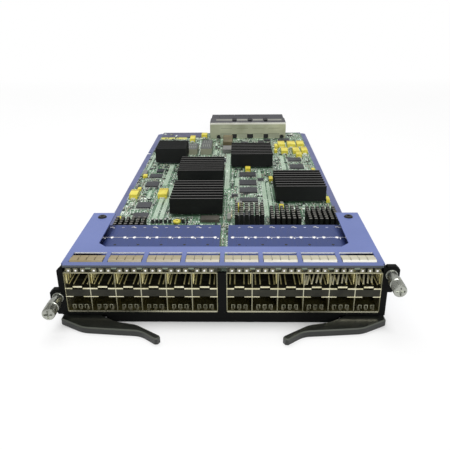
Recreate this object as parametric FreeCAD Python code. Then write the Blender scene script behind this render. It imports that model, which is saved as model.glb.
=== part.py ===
import FreeCAD, Part

import math
import os

# Switch line card: a sheet-metal tray with a circuit board, two ganged cages of pluggable ports
# behind a die-cast faceplate, a folded front cover, two ejector levers and two captive screws.
# Millimetres. X runs across the card and is 0 midway between the port cages, Y runs from the
# port face (0) to the back of the card, Z runs up from the underside of the tray (0).

V = FreeCAD.Vector
os.makedirs("parts", exist_ok=True)

# ---- driving dimensions ------------------------------------------------------------------------

# Port cages
port_pitch = 14.25          # column pitch of ganged small-form ports
columns = 6                 # ports side by side in one cage
port_height = 9.0           # clear height of one port
separator_height = 5.9      # band between the upper and lower row
cage_wall = 0.4             # sheet of the cage
divider_wall = 0.5          # sheet between neighbouring columns
cage_length = 66.5          # port face to back of cage
block_gap = 5.0             # between the two cages
latch_width = 5.3           # spring tab that latches a plugged module
latch_length = 9.0
latch_rise = 1.0            # tab above the floor of the upper port
latch_gap = 0.25
latch_tip = 0.9             # height of the tab's front edge
latch_notch = 1.2
connector_width = 12.4      # host connector at the back of a column
connector_depth = 20.0
slot_height = 2.0           # card slot in the host connector
slot_depth = 7.0
slot_side = 1.3             # plastic left at each side of a slot
slot_lift = 3.4             # slot above the floor of its port

# Spring fingers that ground the cage
finger_width = 3.0
finger_pitch = 4.0
fingers_per_port = 3
finger_sheet = 0.3
finger_rise = 3.3           # above the cage
finger_length = 8.0
floor_finger_rise = 0.7     # small fingers on the floor of the lower ports
floor_finger_length = 6.0
floor_finger_width = 1.4
floor_finger_front = 1.0

# Tray and board
tray_sheet = 1.0
tray_depth = 5.2            # underside to top of the guide flanges
guide_width = 5.1           # flange that runs in the chassis guides
guide_start = 20.0          # flanges begin behind the faceplate
tray_rear_room = 4.0        # board to the back of the tray
tray_front = 2.3
tray_corner = 3.0           # chamfer where a guide enters the chassis
board_length = 410.0
board_corner = 6.0
front_screw_room = 12.0     # board screws behind the cover, and in front of the board's back
rear_screw_room = 11.0
layout_length = 410.0       # board length that the places of its parts are given for
board_front = 14.0
board_sheet = 2.4
board_clearance = 0.4       # board edge to tray wall
standoff_height = 3.6
standoff_flats = 4.5
screw_hole = 1.6            # radius in the board
screw_head = 2.75
screw_head_height = 1.8
rear_flange_height = 6.2
rear_flange_gap = 2.0       # between the flange and the backplane connector
rear_notch_x = 54.4
rear_notch = 6.0
rear_notch_depth = 2.0
guide_notch_y = 333.0
guide_notch_length = 6.0
guide_notch_depth = 3.5

# Front cover
cover_sheet = 0.8
finger_room = 3.75          # cage top to underside of the cover
cover_margin = 7.6          # cover screw to the back of the cover
cover_front = 24.0          # depth of the strip across the front
cover_wing = 14.8           # width of the arm left at each side
cover_chamfer = 5.0
cover_side_gap = 0.3        # cage to side wall of the cover
cover_lip = 1.3             # front edge folded down
window_width = 19.2
window_pitch = 21.7
window_count = 8
window_front = 4.0
window_length = 12.4
cover_screw_x = 81.6
post_gap = 0.3              # cage to cover post
cover_screw_radius = 2.15
cover_screw_head = 3.1
cover_screw_head_height = 0.9

# Grounding strips seen through the windows
strip_side_gap = 0.3
strip_sheet = 0.25
strip_fingers = 4
strip_slot = 0.45
strip_foot = 1.4            # front edge of the strip, under the cover
strip_crown = 0.55          # how far the fingers stand above the cover

# Faceplate
side_bar = 3.35
plate_sheet = 2.0
faceplate_depth = 12.0
cage_clearance = 0.15
rim_sheet = 1.3
sill_drop = 0.6             # top of the lower band below the board's top
sill_sheet = 1.7
top_chamfer = 3.3
ear_width = 5.5
ear_height = 16.0
ear_sheet = 3.0
ear_radius = 2.0            # corner cut at the top
ear_taper = 9.0             # the taper starts this far below the top
ear_foot = 3.2
left_ear_top = 21.0         # above the underside of the tray
right_ear_top = 35.7
boss_half = 3.4
boss_x = 38.0               # screws that hold the faceplate to the tray
boss_y = 7.5
boss_screw_radius = 1.5
boss_screw_head = 2.8
flush_gap = 0.05            # screw head inside the underside of the tray

# Captive screws
screw_x = 92.5
screw_below_top = 5.0       # screw axis below the top of its ear
ferrule_flange = 3.3
ferrule_flange_sheet = 1.0
ferrule_radius = 2.9
ferrule_reach = 8.0         # in front of the ear
waist_radius = 1.6
thread_radius = 2.0
thread_length = 6.0
turned_sides = 12           # flats on the ferrules and washers
running_clearance = 0.05
bore_clearance = 0.12       # corner to corner, where both are drawn with flats
knob_radius = 3.6
knob_reach = 18.3           # front of the knob in front of the ear
knob_front = 1.5
knob_sides = 18
skirt_clearance = 0.2
skirt_overlap = 1.0
washer_sheet = 0.5
spring_wire = 0.45
spring_turns = 3
spring_sides = 7            # flats in one turn of the coil

# Ejector levers
pivot_x = 86.0
pivot_y = 3.5
lever_floor_gap = 0.4       # clear of whatever the card lies on
lever_head_radius = 5.5
lever_top_gap = 0.5         # below the faceplate's sill
pin_radius = 2.5
pin_head_radius = 4.0
pin_head_height = 1.1
pin_head_gap = 0.5
pocket_inner = 66.0         # pocket for the lever's head runs out from here
lever_edge = 0.6
lever_skin = 1.3
pocket_wall = 1.0           # closes the pocket behind the lever's arm
pocket_wall_y = 4.5
pocket_wall_end = 72.0
lever_back = [(60.0, -5.8, 24.0), (47.5, -8.8, 14.0)]       # X, Y and rounding, from pivot to tip
lever_tip = [(33.6, -18.9, 0), (32.9, -20.4, 0), (34.0, -22.4, 0), (35.6, -22.6, 0)]
lever_front = [(44.5, -15.2, 12.0), (56.0, -14.2, 20.0), (77.0, -12.2, 16.0)]
lever_back_corner = 4.0
lever_nose_front = -3.2
lever_nose_corner = 2.0
lever_hollows = [(60.5, -6.2), (68.3, -3.4)]                # X and back of each hollow underneath
hollow_width = 6.5
hollow_front = -9.2
hollow_slope = 1.0

# Backplane connector
backplane_left = -26.0
backplane_right = 67.0
backplane_seat = 28.0       # length that stands on the board
backplane_length = 50.0
backplane_height = 19.2
module_pitch = 19.4
module_count = 4
module_gap = 0.1
first_notch = -15.4
end_gap = 0.2
notch_width = 5.0
notch_height = 3.4
shell_sheet = 0.8
shell_top_length = 27.8

# Cooling
sink_width = 42.5
sink_length = 45.5
sink_height = 15.3          # top of the fins above the board
sink_base = 3.0
sink_fins = 8
fin_sheet = 1.4
chip_width = 35.0
chip_height = 2.3
power_sink_width = 32.0
power_sink_length = 34.0
power_sink_height = 17.0
power_sink_fins = 10
pin_sink_width = 22.0
pin_sink_length = 26.0
pin_sink_height = 13.5
pin_width = 3.0
pin_column_count = 3
pin_row_count = 4
small_chip_height = 1.2
chip_edge = 0.6
chip_inset = 3.5            # edge of a small sink beyond its chip
memory_height = 1.4
tantalum_height = 4.0
capacitor_height = 2.4
pin_sink_base = 2.0

# ---- sizes that follow ---------------------------------------------------------------------------

board_bottom = tray_sheet + standoff_height
board_top = board_bottom + board_sheet
block_width = columns * port_pitch
cage_inner_x = block_gap / 2
cage_outer_x = cage_inner_x + block_width
cage_height = 2 * port_height + separator_height + 2 * cage_wall
cage_top = board_top + cage_height
lower_port_floor = board_top + cage_wall
separator_bottom = lower_port_floor + port_height
separator_top = separator_bottom + separator_height
cover_bottom = cage_top + finger_room
cover_top = cover_bottom + cover_sheet
cover_inner_x = cage_outer_x + cover_side_gap
cover_outer_x = cover_inner_x + cover_sheet
board_x = cage_outer_x
board_back = board_front + board_length
tray_length = board_back + tray_rear_room
backplane_front = board_back - backplane_seat
last_notch = first_notch + module_pitch * module_count
tray_wall_x = board_x + board_clearance
guide_x = tray_wall_x + tray_sheet + guide_width
plate_x = cage_outer_x + cage_clearance + side_bar
sill_top = board_top - sill_drop
sill_bottom = sill_top - sill_sheet
lever_top = sill_bottom - lever_top_gap
lever_bottom = lever_floor_gap
ear_x = plate_x + ear_width
thread_start = ear_sheet + 0.1
cover_screw_y = cage_length + post_gap + standoff_flats / math.sqrt(3)
cover_length = cover_screw_y + cover_margin


def box(x0, x1, y0, y1, z0, z1):
    return Part.makeBox(x1 - x0, y1 - y0, z1 - z0, V(x0, y0, z0))


def rod(radius, start, end):
    """A round bar between two points on a line along one axis."""
    a, b = V(*start), V(*end)
    return Part.makeCylinder(radius, (b - a).Length, a, b - a)


def polygon_face(points):
    return Part.Face(Part.makePolygon(points + points[:1]))


def flat_sided(radius, start, end, sides=10, end_radius=None):
    """A round bar drawn with flats, for small turned parts that repeat; it may taper."""
    rings = []
    for place, r in ((V(*start), radius), (V(*end), radius if end_radius is None else end_radius)):
        turns = [2 * math.pi * i / sides for i in range(sides)]
        if start[2] != end[2]:
            rings.append([place + V(r * math.cos(a), r * math.sin(a), 0) for a in turns])
        else:
            rings.append([place + V(r * math.cos(a), 0, r * math.sin(a)) for a in turns])
    near, far = rings
    walls = [polygon_face([near[i - 1], near[i], far[i], far[i - 1]]) for i in range(sides)]
    return Part.makeSolid(Part.makeShell(walls + [polygon_face(near), polygon_face(far)]))


def prism(points, direction):
    """A polygon carried along a vector."""
    return polygon_face([V(*p) for p in points]).extrude(V(*direction))


def side_profile(points, x0, x1):
    """A section drawn in Y and Z, carried across X."""
    return prism([(x0, y, z) for y, z in points], (x1 - x0, 0, 0))


def rounded_outline(corners):
    """A closed face in X and Y from corners (x, y, radius), each rounded by a tangent arc."""
    points = [V(x, y, 0) for x, y, radius in corners]
    edges, last, first = [], None, None
    for i, (x, y, radius) in enumerate(corners):
        here = points[i]
        back = (points[i - 1] - here).normalize()
        ahead = (points[(i + 1) % len(points)] - here).normalize()
        half = back.getAngle(ahead) / 2
        start, end = here + back * (radius / math.tan(half)), here + ahead * (radius / math.tan(half))
        middle = here + (back + ahead).normalize() * (radius / math.sin(half) - radius)
        if last:
            edges.append(Part.LineSegment(last, start).toShape())
        if radius:
            edges.append(Part.Arc(start, middle, end).toShape())
        first, last = first or start, end
    edges.append(Part.LineSegment(last, first).toShape())
    return Part.Face(Part.Wire(edges))


def moved(shape, x, y, z):
    copy = shape.copy()
    copy.translate(V(x, y, z))
    return copy


def mirrored(shape):
    return shape.mirror(V(0, 0, 0), V(1, 0, 0))


def both_sides(shape):
    return Part.makeCompound([mirrored(shape), shape])


def save(name, shape):
    shape.exportStep("parts/" + name + ".step")


def group(name, solids):
    save(name, Part.makeCompound(solids))


# ---- tray, board and their fixings ---------------------------------------------------------------

board_screw_places = [(85.0, cover_length + front_screw_room), (76.0, board_back - rear_screw_room)]
board_rest_place = (84.5, 264.0)


def tray():
    """One sheet: floor, side walls, outward guide flanges and a low flange across the back."""
    floor = box(-tray_wall_x, tray_wall_x, guide_start, tray_length, 0, tray_sheet)
    tongue = box(-pocket_inner, pocket_inner, tray_front, guide_start, 0, tray_sheet)
    wall = box(tray_wall_x, tray_wall_x + tray_sheet, guide_start, tray_length, 0, tray_depth)
    low, high = tray_depth - tray_sheet, tray_depth
    inner, outer = tray_wall_x + tray_sheet, guide_x
    flange = prism([(inner, guide_start, low), (outer - tray_corner, guide_start, low),
                    (outer, guide_start + tray_corner, low), (outer, tray_length - tray_corner, low),
                    (outer - tray_corner, tray_length, low), (inner, tray_length, low)],
                   (0, 0, high - low))
    side = wall.fuse(flange)
    notch = box(guide_x - guide_notch_depth, guide_x + 1, guide_notch_y,
                guide_notch_y + guide_notch_length, low - 1, high + 1)
    y, top = tray_length - tray_sheet, rear_flange_height
    back_left = box(-tray_wall_x, backplane_left - rear_flange_gap, y, tray_length, 0, top)
    back_right = box(backplane_right + rear_flange_gap, tray_wall_x, y, tray_length, 0, top)
    cable_notch = box(-rear_notch_x - rear_notch, -rear_notch_x, y - 1, tray_length + 1,
                      top - rear_notch_depth, top + 1)
    body = floor.multiFuse([tongue, side, mirrored(side.cut(notch)),
                            back_left.cut(cable_notch), back_right])
    sinks = [flat_sided(boss_screw_head, (s * boss_x, boss_y, 0), (s * boss_x, boss_y, tray_sheet),
                        end_radius=boss_screw_radius) for s in (-1, 1)]
    return body.removeSplitter().cut(Part.makeCompound(sinks))


def board():
    plate = box(-board_x, board_x, board_front, board_back, board_bottom, board_top)
    holes = [flat_sided(screw_hole, (s * x, y, board_bottom), (s * x, y, board_top))
             for x, y in board_screw_places for s in (-1, 1)]
    cuts = [prism([(s * board_x, board_back - board_corner, board_bottom),
                   (s * board_x, board_back, board_bottom),
                   (s * (board_x - board_corner), board_back, board_bottom)],
                  (0, 0, board_sheet)) for s in (-1, 1)]
    return plate.cut(Part.makeCompound(holes + cuts))


def hexagon(flats, x, y, z0, z1):
    return flat_sided(flats / math.sqrt(3), (x, y, z0), (x, y, z1), 6)


def standoff(x, y):
    return hexagon(standoff_flats, x, y, tray_sheet, board_bottom)


def board_screw(x, y):
    """Pan head; the shank fills the board's hole."""
    high = board_top + screw_head_height
    head = flat_sided(screw_head, (x, y, board_top), (x, y, high), end_radius=0.8 * screw_head)
    return head.fuse(flat_sided(screw_hole, (x, y, board_bottom), (x, y, board_top)))


# ---- port cages ----------------------------------------------------------------------------------

def column_x(column):
    """Centre of a column in the right-hand cage."""
    return cage_inner_x + port_pitch * (column + 0.5)


def cage_shell():
    """Top, sides and back of a cage, folded from one sheet."""
    outer = box(cage_inner_x, cage_outer_x, 0, cage_length, board_top, cage_top)
    hollow = box(cage_inner_x + cage_wall, cage_outer_x - cage_wall, -1, cage_length - cage_wall,
                 board_top - 1, cage_top - cage_wall)
    return outer.cut(hollow)


def cage_floor():
    """Floor of a cage with its front lip, which hangs in front of the faceplate's sill."""
    x0, x1 = cage_inner_x + cage_wall, cage_outer_x - cage_wall
    return side_profile([(0, lower_port_floor), (0, sill_top + 0.05), (cage_wall, sill_top + 0.05),
                         (cage_wall, board_top), (cage_length - cage_wall, board_top),
                         (cage_length - cage_wall, lower_port_floor)], x0, x1)


def dividers():
    return [box(cage_inner_x + port_pitch * c - divider_wall / 2,
                cage_inner_x + port_pitch * c + divider_wall / 2,
                0, cage_length - cage_wall, lower_port_floor, cage_top - cage_wall)
            for c in range(1, columns)]


def separator(column):
    """Sheet channel between the two ports of a column, with a latch tab and a notch for each."""
    half = port_pitch / 2
    left = divider_wall / 2 if column else cage_wall
    right = divider_wall / 2 if column < columns - 1 else cage_wall
    xc = column_x(column)
    back = cage_length - cage_wall - connector_depth
    low, high, web = separator_bottom, separator_top, cage_wall
    channel = side_profile([(0, low), (back, low), (back, low + web), (web, low + web),
                            (web, high - web), (back, high - web), (back, high), (0, high)],
                           xc - half + left, xc + half - right)
    slot = latch_width / 2 + latch_gap
    notches = [box(xc - slot, xc + slot, 0, latch_length, low, low + web),
               box(xc - slot, xc + slot, 0, latch_length, high - latch_notch, high)]
    tab = side_profile([(0.1, high + latch_rise - latch_tip), (latch_length + 1, high - web),
                        (0.1, high + latch_rise)], xc - latch_width / 2, xc + latch_width / 2)
    return channel.cut(Part.makeCompound(notches)).fuse(tab)


def host_connector(column):
    """Moulded connector across both rows of a column, with a card slot for each port."""
    xc = column_x(column)
    x0, x1 = xc - connector_width / 2, xc + connector_width / 2
    back = cage_length - cage_wall - 0.1
    front = back - connector_depth + 0.2
    body = box(x0, x1, front, back, lower_port_floor, separator_top + port_height - 0.6)
    slots = [box(x0 + slot_side, x1 - slot_side, front, front + slot_depth, z, z + slot_height)
             for z in (lower_port_floor + slot_lift, separator_top + slot_lift)]
    return body.cut(Part.makeCompound(slots))


def finger_centres():
    return [column_x(c) + (i - (fingers_per_port - 1) / 2) * finger_pitch
            for c in range(columns) for i in range(fingers_per_port)]


def cage_fingers():
    """Grounding spring: a strip along the front of the cage's top with bent fingers."""
    top, sheet = cage_top, finger_sheet
    strip = box(cage_inner_x + cage_wall, cage_outer_x - cage_wall, 0.1, 1.2, top, top + sheet)
    peak = 0.45 * finger_length
    tongue = [(0.1, top), (peak, top + finger_rise), (finger_length, top),
              (finger_length - 2 * sheet, top), (peak, top + finger_rise - 2 * sheet), (0.1 + 2 * sheet, top)]
    fingers = [side_profile(tongue, x - finger_width / 2, x + finger_width / 2) for x in finger_centres()]
    return strip.multiFuse(fingers)


def floor_fingers():
    """Small springs on the floor of the lower ports."""
    y, z = floor_finger_front, lower_port_floor
    hoop = [(y, z), (y + 0.4 * floor_finger_length, z + floor_finger_rise), (y + floor_finger_length, z)]
    return [side_profile(hoop, x - floor_finger_width / 2, x + floor_finger_width / 2)
            for x in finger_centres()]


def save_cage(side, flip):
    pieces = {"port_cage": cage_shell(), "cage_floor": cage_floor(), "cage_fingers": cage_fingers(),
              "cage_dividers": Part.makeCompound(dividers()),
              "port_separators": Part.makeCompound([separator(c) for c in range(columns)]),
              "port_connectors": Part.makeCompound([host_connector(c) for c in range(columns)]),
              "floor_fingers": Part.makeCompound(floor_fingers())}
    for name, shape in pieces.items():
        save(side + "_" + name, mirrored(shape) if flip else shape)


# ---- front cover and its grounding strips ---------------------------------------------------------

def window_x(i):
    return (i - (window_count - 1) / 2) * window_pitch


def cover():
    """Folded sheet: a strip across the front, two arms, side walls and a lip, with windows."""
    front = plate_sheet + cage_clearance
    arm = cover_outer_x - cover_wing
    top = box(-cover_outer_x, cover_outer_x, front, cover_length, cover_bottom, cover_top)
    top = top.fuse(box(-cage_outer_x, cage_outer_x, 0, front, cover_bottom, cover_top))
    low, step = cover_bottom - 1, cover_front + cover_chamfer
    notch = prism([(-arm, cover_length + 1, low), (-arm, step, low),
                   (-arm + cover_chamfer, cover_front, low), (arm - cover_chamfer, cover_front, low),
                   (arm, step, low), (arm, cover_length + 1, low)], (0, 0, cover_sheet + 2))
    wall = box(cover_inner_x, cover_outer_x, faceplate_depth + 0.2, cover_length, tray_depth, cover_top)
    wall = wall.cut(box(cover_inner_x - 1, cover_outer_x + 1, faceplate_depth, guide_start + 1,
                        tray_depth - 1, sill_top + 2))
    lip = box(-cage_outer_x, cage_outer_x, 0, cover_sheet, cover_top - cover_lip, cover_top)
    windows = [box(window_x(i) - window_width / 2, window_x(i) + window_width / 2, window_front,
                   window_front + window_length, cover_bottom - 1, cover_top + 1)
               for i in range(window_count)]
    holes = [flat_sided(cover_screw_radius, (s * cover_screw_x, cover_screw_y, cover_bottom),
                        (s * cover_screw_x, cover_screw_y, cover_top)) for s in (-1, 1)]
    body = top.cut(notch).multiFuse([wall, mirrored(wall), lip]).removeSplitter()
    return body.cut(Part.makeCompound(windows + holes))


def cover_post():
    """Pillar on the board that takes a cover screw."""
    return hexagon(standoff_flats, cover_screw_x, cover_screw_y, board_top, cover_bottom)


def cover_screw():
    x, y, high = cover_screw_x, cover_screw_y, cover_top + cover_screw_head_height
    head = flat_sided(cover_screw_head, (x, y, cover_top), (x, y, high), end_radius=0.75 * cover_screw_head)
    return head.fuse(flat_sided(cover_screw_radius, (x, y, cover_bottom), (x, y, cover_top)))


def grounding_strip(i):
    """Bent spring strip: it clips under the front of a window and its fingers arch through it."""
    x0 = window_x(i) - window_width / 2 + strip_side_gap
    x1 = window_x(i) + window_width / 2 - strip_side_gap
    t, y = strip_sheet, window_front + 0.2
    low = cover_bottom
    crown = cover_top + strip_crown
    rise, fall, tip = y + 1.2, y + 4.8, y + 8.6
    section = [(strip_foot, low), (y, low), (rise, crown), (fall, crown), (tip, low - 0.6),
               (fall, crown - t), (rise, crown - t), (y, low - t), (strip_foot, low - t)]
    body = side_profile(section, x0, x1)
    pitch = (x1 - x0) / strip_fingers
    slots = [box(x0 + pitch * k - strip_slot / 2, x0 + pitch * k + strip_slot / 2, rise, tip,
                 low - 3, crown + 1) for k in range(1, strip_fingers)]
    return body.cut(Part.makeCompound(slots))


# ---- faceplate -------------------------------------------------------------------------------------

def ear(top, side):
    """Lug for a captive screw, tapered towards its foot."""
    x0, x1 = plate_x - 1.5, ear_x
    shape = prism([(x0, 0, top), (x1 - ear_radius, 0, top), (x1, 0, top - ear_radius),
                   (x1, 0, top - ear_taper), (x1 - ear_foot, 0, top - ear_height),
                   (x0, 0, top - ear_height)], (0, ear_sheet, 0))
    return shape if side > 0 else mirrored(shape)


def faceplate():
    """Casting: front frame with a window for each cage, sill, side rims, screw bosses and ears."""
    x, top = plate_x, cover_top
    frame = prism([(-x, 0, 0), (x, 0, 0), (x, 0, top - top_chamfer), (x - top_chamfer, 0, top),
                   (top_chamfer - x, 0, top), (-x, 0, top - top_chamfer)], (0, plate_sheet, 0))
    inner, outer = cage_inner_x - cage_clearance, cage_outer_x + cage_clearance
    window = box(inner, outer, -1, plate_sheet + 1, sill_top, top + 1)
    above = box(-outer, outer, -1, plate_sheet + 1, cage_top, top + 1)
    pocket = box(pocket_inner, x + 1, -1, plate_sheet + 1, -1, sill_bottom)
    frame = frame.cut(Part.makeCompound([window, mirrored(window), above, pocket, mirrored(pocket)]))
    rim = box(outer, outer + rim_sheet, 0, faceplate_depth, sill_bottom, top - top_chamfer)
    sill = box(-outer, outer, 0, faceplate_depth, sill_bottom, sill_top)
    wall = box(pocket_inner, pocket_wall_end, pocket_wall_y, pocket_wall_y + pocket_wall, lever_bottom,
               sill_bottom)
    bosses = [box(s * boss_x - boss_half, s * boss_x + boss_half, boss_y - boss_half,
                  boss_y + boss_half, tray_sheet, sill_bottom) for s in (-1, 1)]
    body = frame.multiFuse([rim, mirrored(rim), wall, mirrored(wall), sill] + bosses
                           + [ear(left_ear_top, -1), ear(right_ear_top, 1)])
    bores = [rod(pin_radius, (s * pivot_x, pivot_y, 0), (s * pivot_x, pivot_y, sill_top + 1))
             for s in (-1, 1)]
    bores += [flat_sided(boss_screw_radius, (s * boss_x, boss_y, tray_sheet),
                         (s * boss_x, boss_y, sill_bottom)) for s in (-1, 1)]
    bores += [flat_sided(ferrule_radius, (s * screw_x, 0, z - screw_below_top),
                         (s * screw_x, ear_sheet, z - screw_below_top), turned_sides)
              for s, z in ((-1, left_ear_top), (1, right_ear_top))]
    return body.removeSplitter().cut(Part.makeCompound(bores))


def boss_screw(x):
    """Flush countersunk screw from under the tray into a boss."""
    slope = (boss_screw_head - boss_screw_radius) / tray_sheet
    head = flat_sided(boss_screw_head - slope * flush_gap, (x, boss_y, flush_gap),
                      (x, boss_y, tray_sheet), end_radius=boss_screw_radius)
    return head.fuse(flat_sided(boss_screw_radius, (x, boss_y, tray_sheet), (x, boss_y, sill_bottom)))


# ---- captive screws ---------------------------------------------------------------------------------

def ferrule():
    """Bush pressed into the ear, at X = 0, Z = 0; the screw's waist runs in it."""
    body = flat_sided(ferrule_radius, (0, -ferrule_reach, 0), (0, ear_sheet, 0), turned_sides)
    flange = flat_sided(ferrule_flange, (0, -ferrule_flange_sheet, 0), (0, 0, 0), turned_sides)
    bore = waist_radius + bore_clearance
    return body.fuse(flange).cut(flat_sided(bore, (0, -ferrule_reach, 0), (0, ear_sheet, 0)))


def captive_screw():
    """Knob with a hollow skirt, a plain waist and a threaded tip."""
    skirt_back = skirt_overlap - ferrule_reach
    front, floor = -knob_reach, knob_front - knob_reach
    knob = flat_sided(knob_radius, (0, front, 0), (0, skirt_back, 0), knob_sides)
    knob = knob.cut(flat_sided(ferrule_radius + skirt_clearance, (0, floor, 0), (0, skirt_back, 0),
                               turned_sides))
    waist = flat_sided(waist_radius, (0, floor, 0), (0, thread_start, 0))
    thread = rod(thread_radius, (0, thread_start, 0), (0, thread_start + thread_length, 0))
    return knob.multiFuse([waist, thread])


def thrust_washer():
    """Between the spring and the knob: it slides with the screw but doesn't turn."""
    y = knob_front - knob_reach
    disc = flat_sided(ferrule_radius, (0, y, 0), (0, y + washer_sheet, 0), turned_sides)
    return disc.cut(flat_sided(waist_radius + bore_clearance, (0, y, 0), (0, y + washer_sheet, 0)))


def return_spring():
    """Coil of square wire, wound in flats, between the ferrule and the thrust washer."""
    y0 = knob_front - knob_reach + washer_sheet
    radius = (ferrule_radius + waist_radius) / 2 + 0.1
    half = spring_wire / 2
    steps = spring_turns * spring_sides
    rise = (-ferrule_reach - y0 - spring_wire) / steps
    rings = []
    for i in range(steps + 1):
        angle = 2 * math.pi * i / spring_sides
        rings.append([V((radius + a * half) * math.cos(angle), y0 + half + rise * i + b * half,
                        (radius + a * half) * math.sin(angle))
                      for a, b in ((-1, -1), (1, -1), (1, 1), (-1, 1))])
    corners = [rings[0], rings[-1]]
    for this, following in zip(rings, rings[1:]):
        for k in range(4):
            a, b, c, d = this[k], this[(k + 1) % 4], following[(k + 1) % 4], following[k]
            corners += [[a, b, c], [a, c, d]] if k % 2 == 0 else [[a, b, c, d]]
    return Part.Solid(Part.makeShell([polygon_face(corner) for corner in corners]))


def save_captive_screws():
    places = {"left": V(-screw_x, 0, left_ear_top - screw_below_top),
              "right": V(screw_x, 0, right_ear_top - screw_below_top)}
    ferrules = []
    for side, place in places.items():
        ferrules.append(moved(ferrule(), *place))
        save(side + "_captive_screw", moved(captive_screw(), *place))
        save(side + "_thrust_washer", moved(thrust_washer(), *place))
        save(side + "_return_spring", moved(return_spring(), *place))
    group("screw_ferrules", ferrules)


# ---- ejector levers ------------------------------------------------------------------------------------

def lever():
    """Moulded right-hand lever, folded along the bottom of the faceplate."""
    nose, back, height = plate_x, pivot_y + lever_head_radius, lever_top - lever_bottom
    face = rounded_outline([(pivot_x - lever_head_radius, back, lever_back_corner)]
                           + lever_back + lever_tip + lever_front
                           + [(nose - 0.5, lever_nose_front - 0.7, 0), (nose, lever_nose_front, 0),
                              (nose, back - lever_nose_corner, 0), (nose - lever_nose_corner, back, 0)])
    body = face.extrude(V(0, 0, height))
    body.translate(V(0, 0, lever_bottom))
    rim = [e for e in body.Edges if e.BoundBox.ZMin > lever_top - 1e-6]
    body = body.makeChamfer(lever_edge, rim)
    bore = rod(pin_radius + running_clearance, (pivot_x, pivot_y, 0), (pivot_x, pivot_y, lever_top + 1))
    sink = flat_sided(pin_head_radius + pin_head_gap, (pivot_x, pivot_y, lever_bottom),
                      (pivot_x, pivot_y, lever_bottom + pin_head_height + pin_head_gap))
    core_top = lever_top - lever_skin
    cores = [prism([(x, hollow_front, lever_bottom), (x + hollow_width, hollow_front, lever_bottom),
                    (x + hollow_width, y, lever_bottom), (x, y - hollow_slope, lever_bottom)],
                   (0, 0, core_top - lever_bottom)) for x, y in lever_hollows]
    return body.cut(Part.makeCompound([bore, sink] + cores))


def lever_pin():
    """Shoulder rivet pressed into the sill; its head sits inside the lever's underside."""
    low = lever_bottom + 0.1
    shoulder = low + pin_head_height
    shank = rod(pin_radius, (pivot_x, pivot_y, shoulder), (pivot_x, pivot_y, sill_top))
    return shank.fuse(flat_sided(pin_head_radius, (pivot_x, pivot_y, low), (pivot_x, pivot_y, shoulder)))


# ---- parts on the board ---------------------------------------------------------------------------------

def comb(width, length, height, base, fins, sheet):
    """Extruded heat sink: fins run across X, spaced along Y, base at Z = 0."""
    pitch = (length - sheet) / (fins - 1)
    points = [(0, 0)]
    for i in range(fins):
        y = i * pitch
        points += [(y, height), (y + sheet, height)]
        if i < fins - 1:
            points += [(y + sheet, base), (y + pitch, base)]
    points += [(length, 0)]
    return side_profile(points, 0, width)


def sink_with_chip(name, x, y):
    """A finned heat sink on its chip; x, y is its front left corner."""
    lift = chip_height
    save(name, moved(comb(sink_width, sink_length, sink_height - lift, sink_base, sink_fins, fin_sheet),
                     x, y, board_top + lift))
    dx, dy = (sink_width - chip_width) / 2, (sink_length - chip_width) / 2
    return box(x + dx, x + dx + chip_width, y + dy, y + dy + chip_width, board_top, board_top + lift)


def pin_sink():
    """Cross-cut heat sink of square pins."""
    along = comb(pin_sink_width, pin_sink_length, pin_sink_height, pin_sink_base, pin_row_count, pin_width)
    across = comb(pin_sink_length, pin_sink_width, pin_sink_height, pin_sink_base, pin_column_count, pin_width)
    across.rotate(V(0, 0, 0), V(0, 0, 1), 90)
    across = across.mirror(V(0, 0, 0), V(1, 0, 0))
    return along.common(across)


def chip(x0, x1, y0, y1, height):
    """Moulded package with a chamfered top."""
    body = block(x0, x1, y0, y1, height)
    top = [e for e in body.Edges if e.BoundBox.ZMin > board_top + height - 1e-6]
    return body.makeChamfer(chip_edge, top)


def block(x0, x1, y0, y1, height):
    return box(x0, x1, y0, y1, board_top, board_top + height)


def backplane_shell():
    """Stamped shield: front plate with five notches at its foot, and a top plate."""
    x0, x1 = backplane_left, backplane_right
    y0, z1 = backplane_front, board_top + backplane_height
    front = box(x0, x1, y0, y0 + shell_sheet, board_top, z1)
    top = box(x0, x1, y0, y0 + shell_top_length, z1 - shell_sheet, z1)
    ends = [box(x, x + shell_sheet, y0, board_back, board_top, z1) for x in (x0, x1 - shell_sheet)]
    xs = [first_notch + module_pitch * i for i in range(module_count + 1)]
    cuts = [box(x - notch_width / 2, x + notch_width / 2, y0 - 1, y0 + 2, board_top - 1,
                board_top + notch_height) for x in xs]
    cuts += [box(x - notch_width / 2, x + notch_width / 2, y0 + 6, y0 + shell_top_length + 1,
                 z1 - 2, z1 + 1) for x in xs[1:-1]]
    return front.multiFuse([top] + ends).cut(Part.makeCompound(cuts))


def backplane_module(i):
    """Plug-in half of one connector module, its mating face at the back."""
    x0 = first_notch + module_pitch * i + module_gap / 2
    x1 = x0 + module_pitch - module_gap
    y0, y1 = backplane_front + shell_sheet + 0.3, backplane_front + backplane_length
    z0, z1 = board_top, board_top + backplane_height
    body = box(x0, x1, y0, board_back, z0, z1 - shell_sheet - 0.2)
    body = body.fuse(box(x0, x1, board_back, y1, z0 - 1.0, z1))
    cavity = box(x0 + 1.2, x1 - 1.2, y1 - 3.0, y1 + 1, z0 + 0.4, z1 - 1.4)
    return body.cut(cavity)


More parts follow.
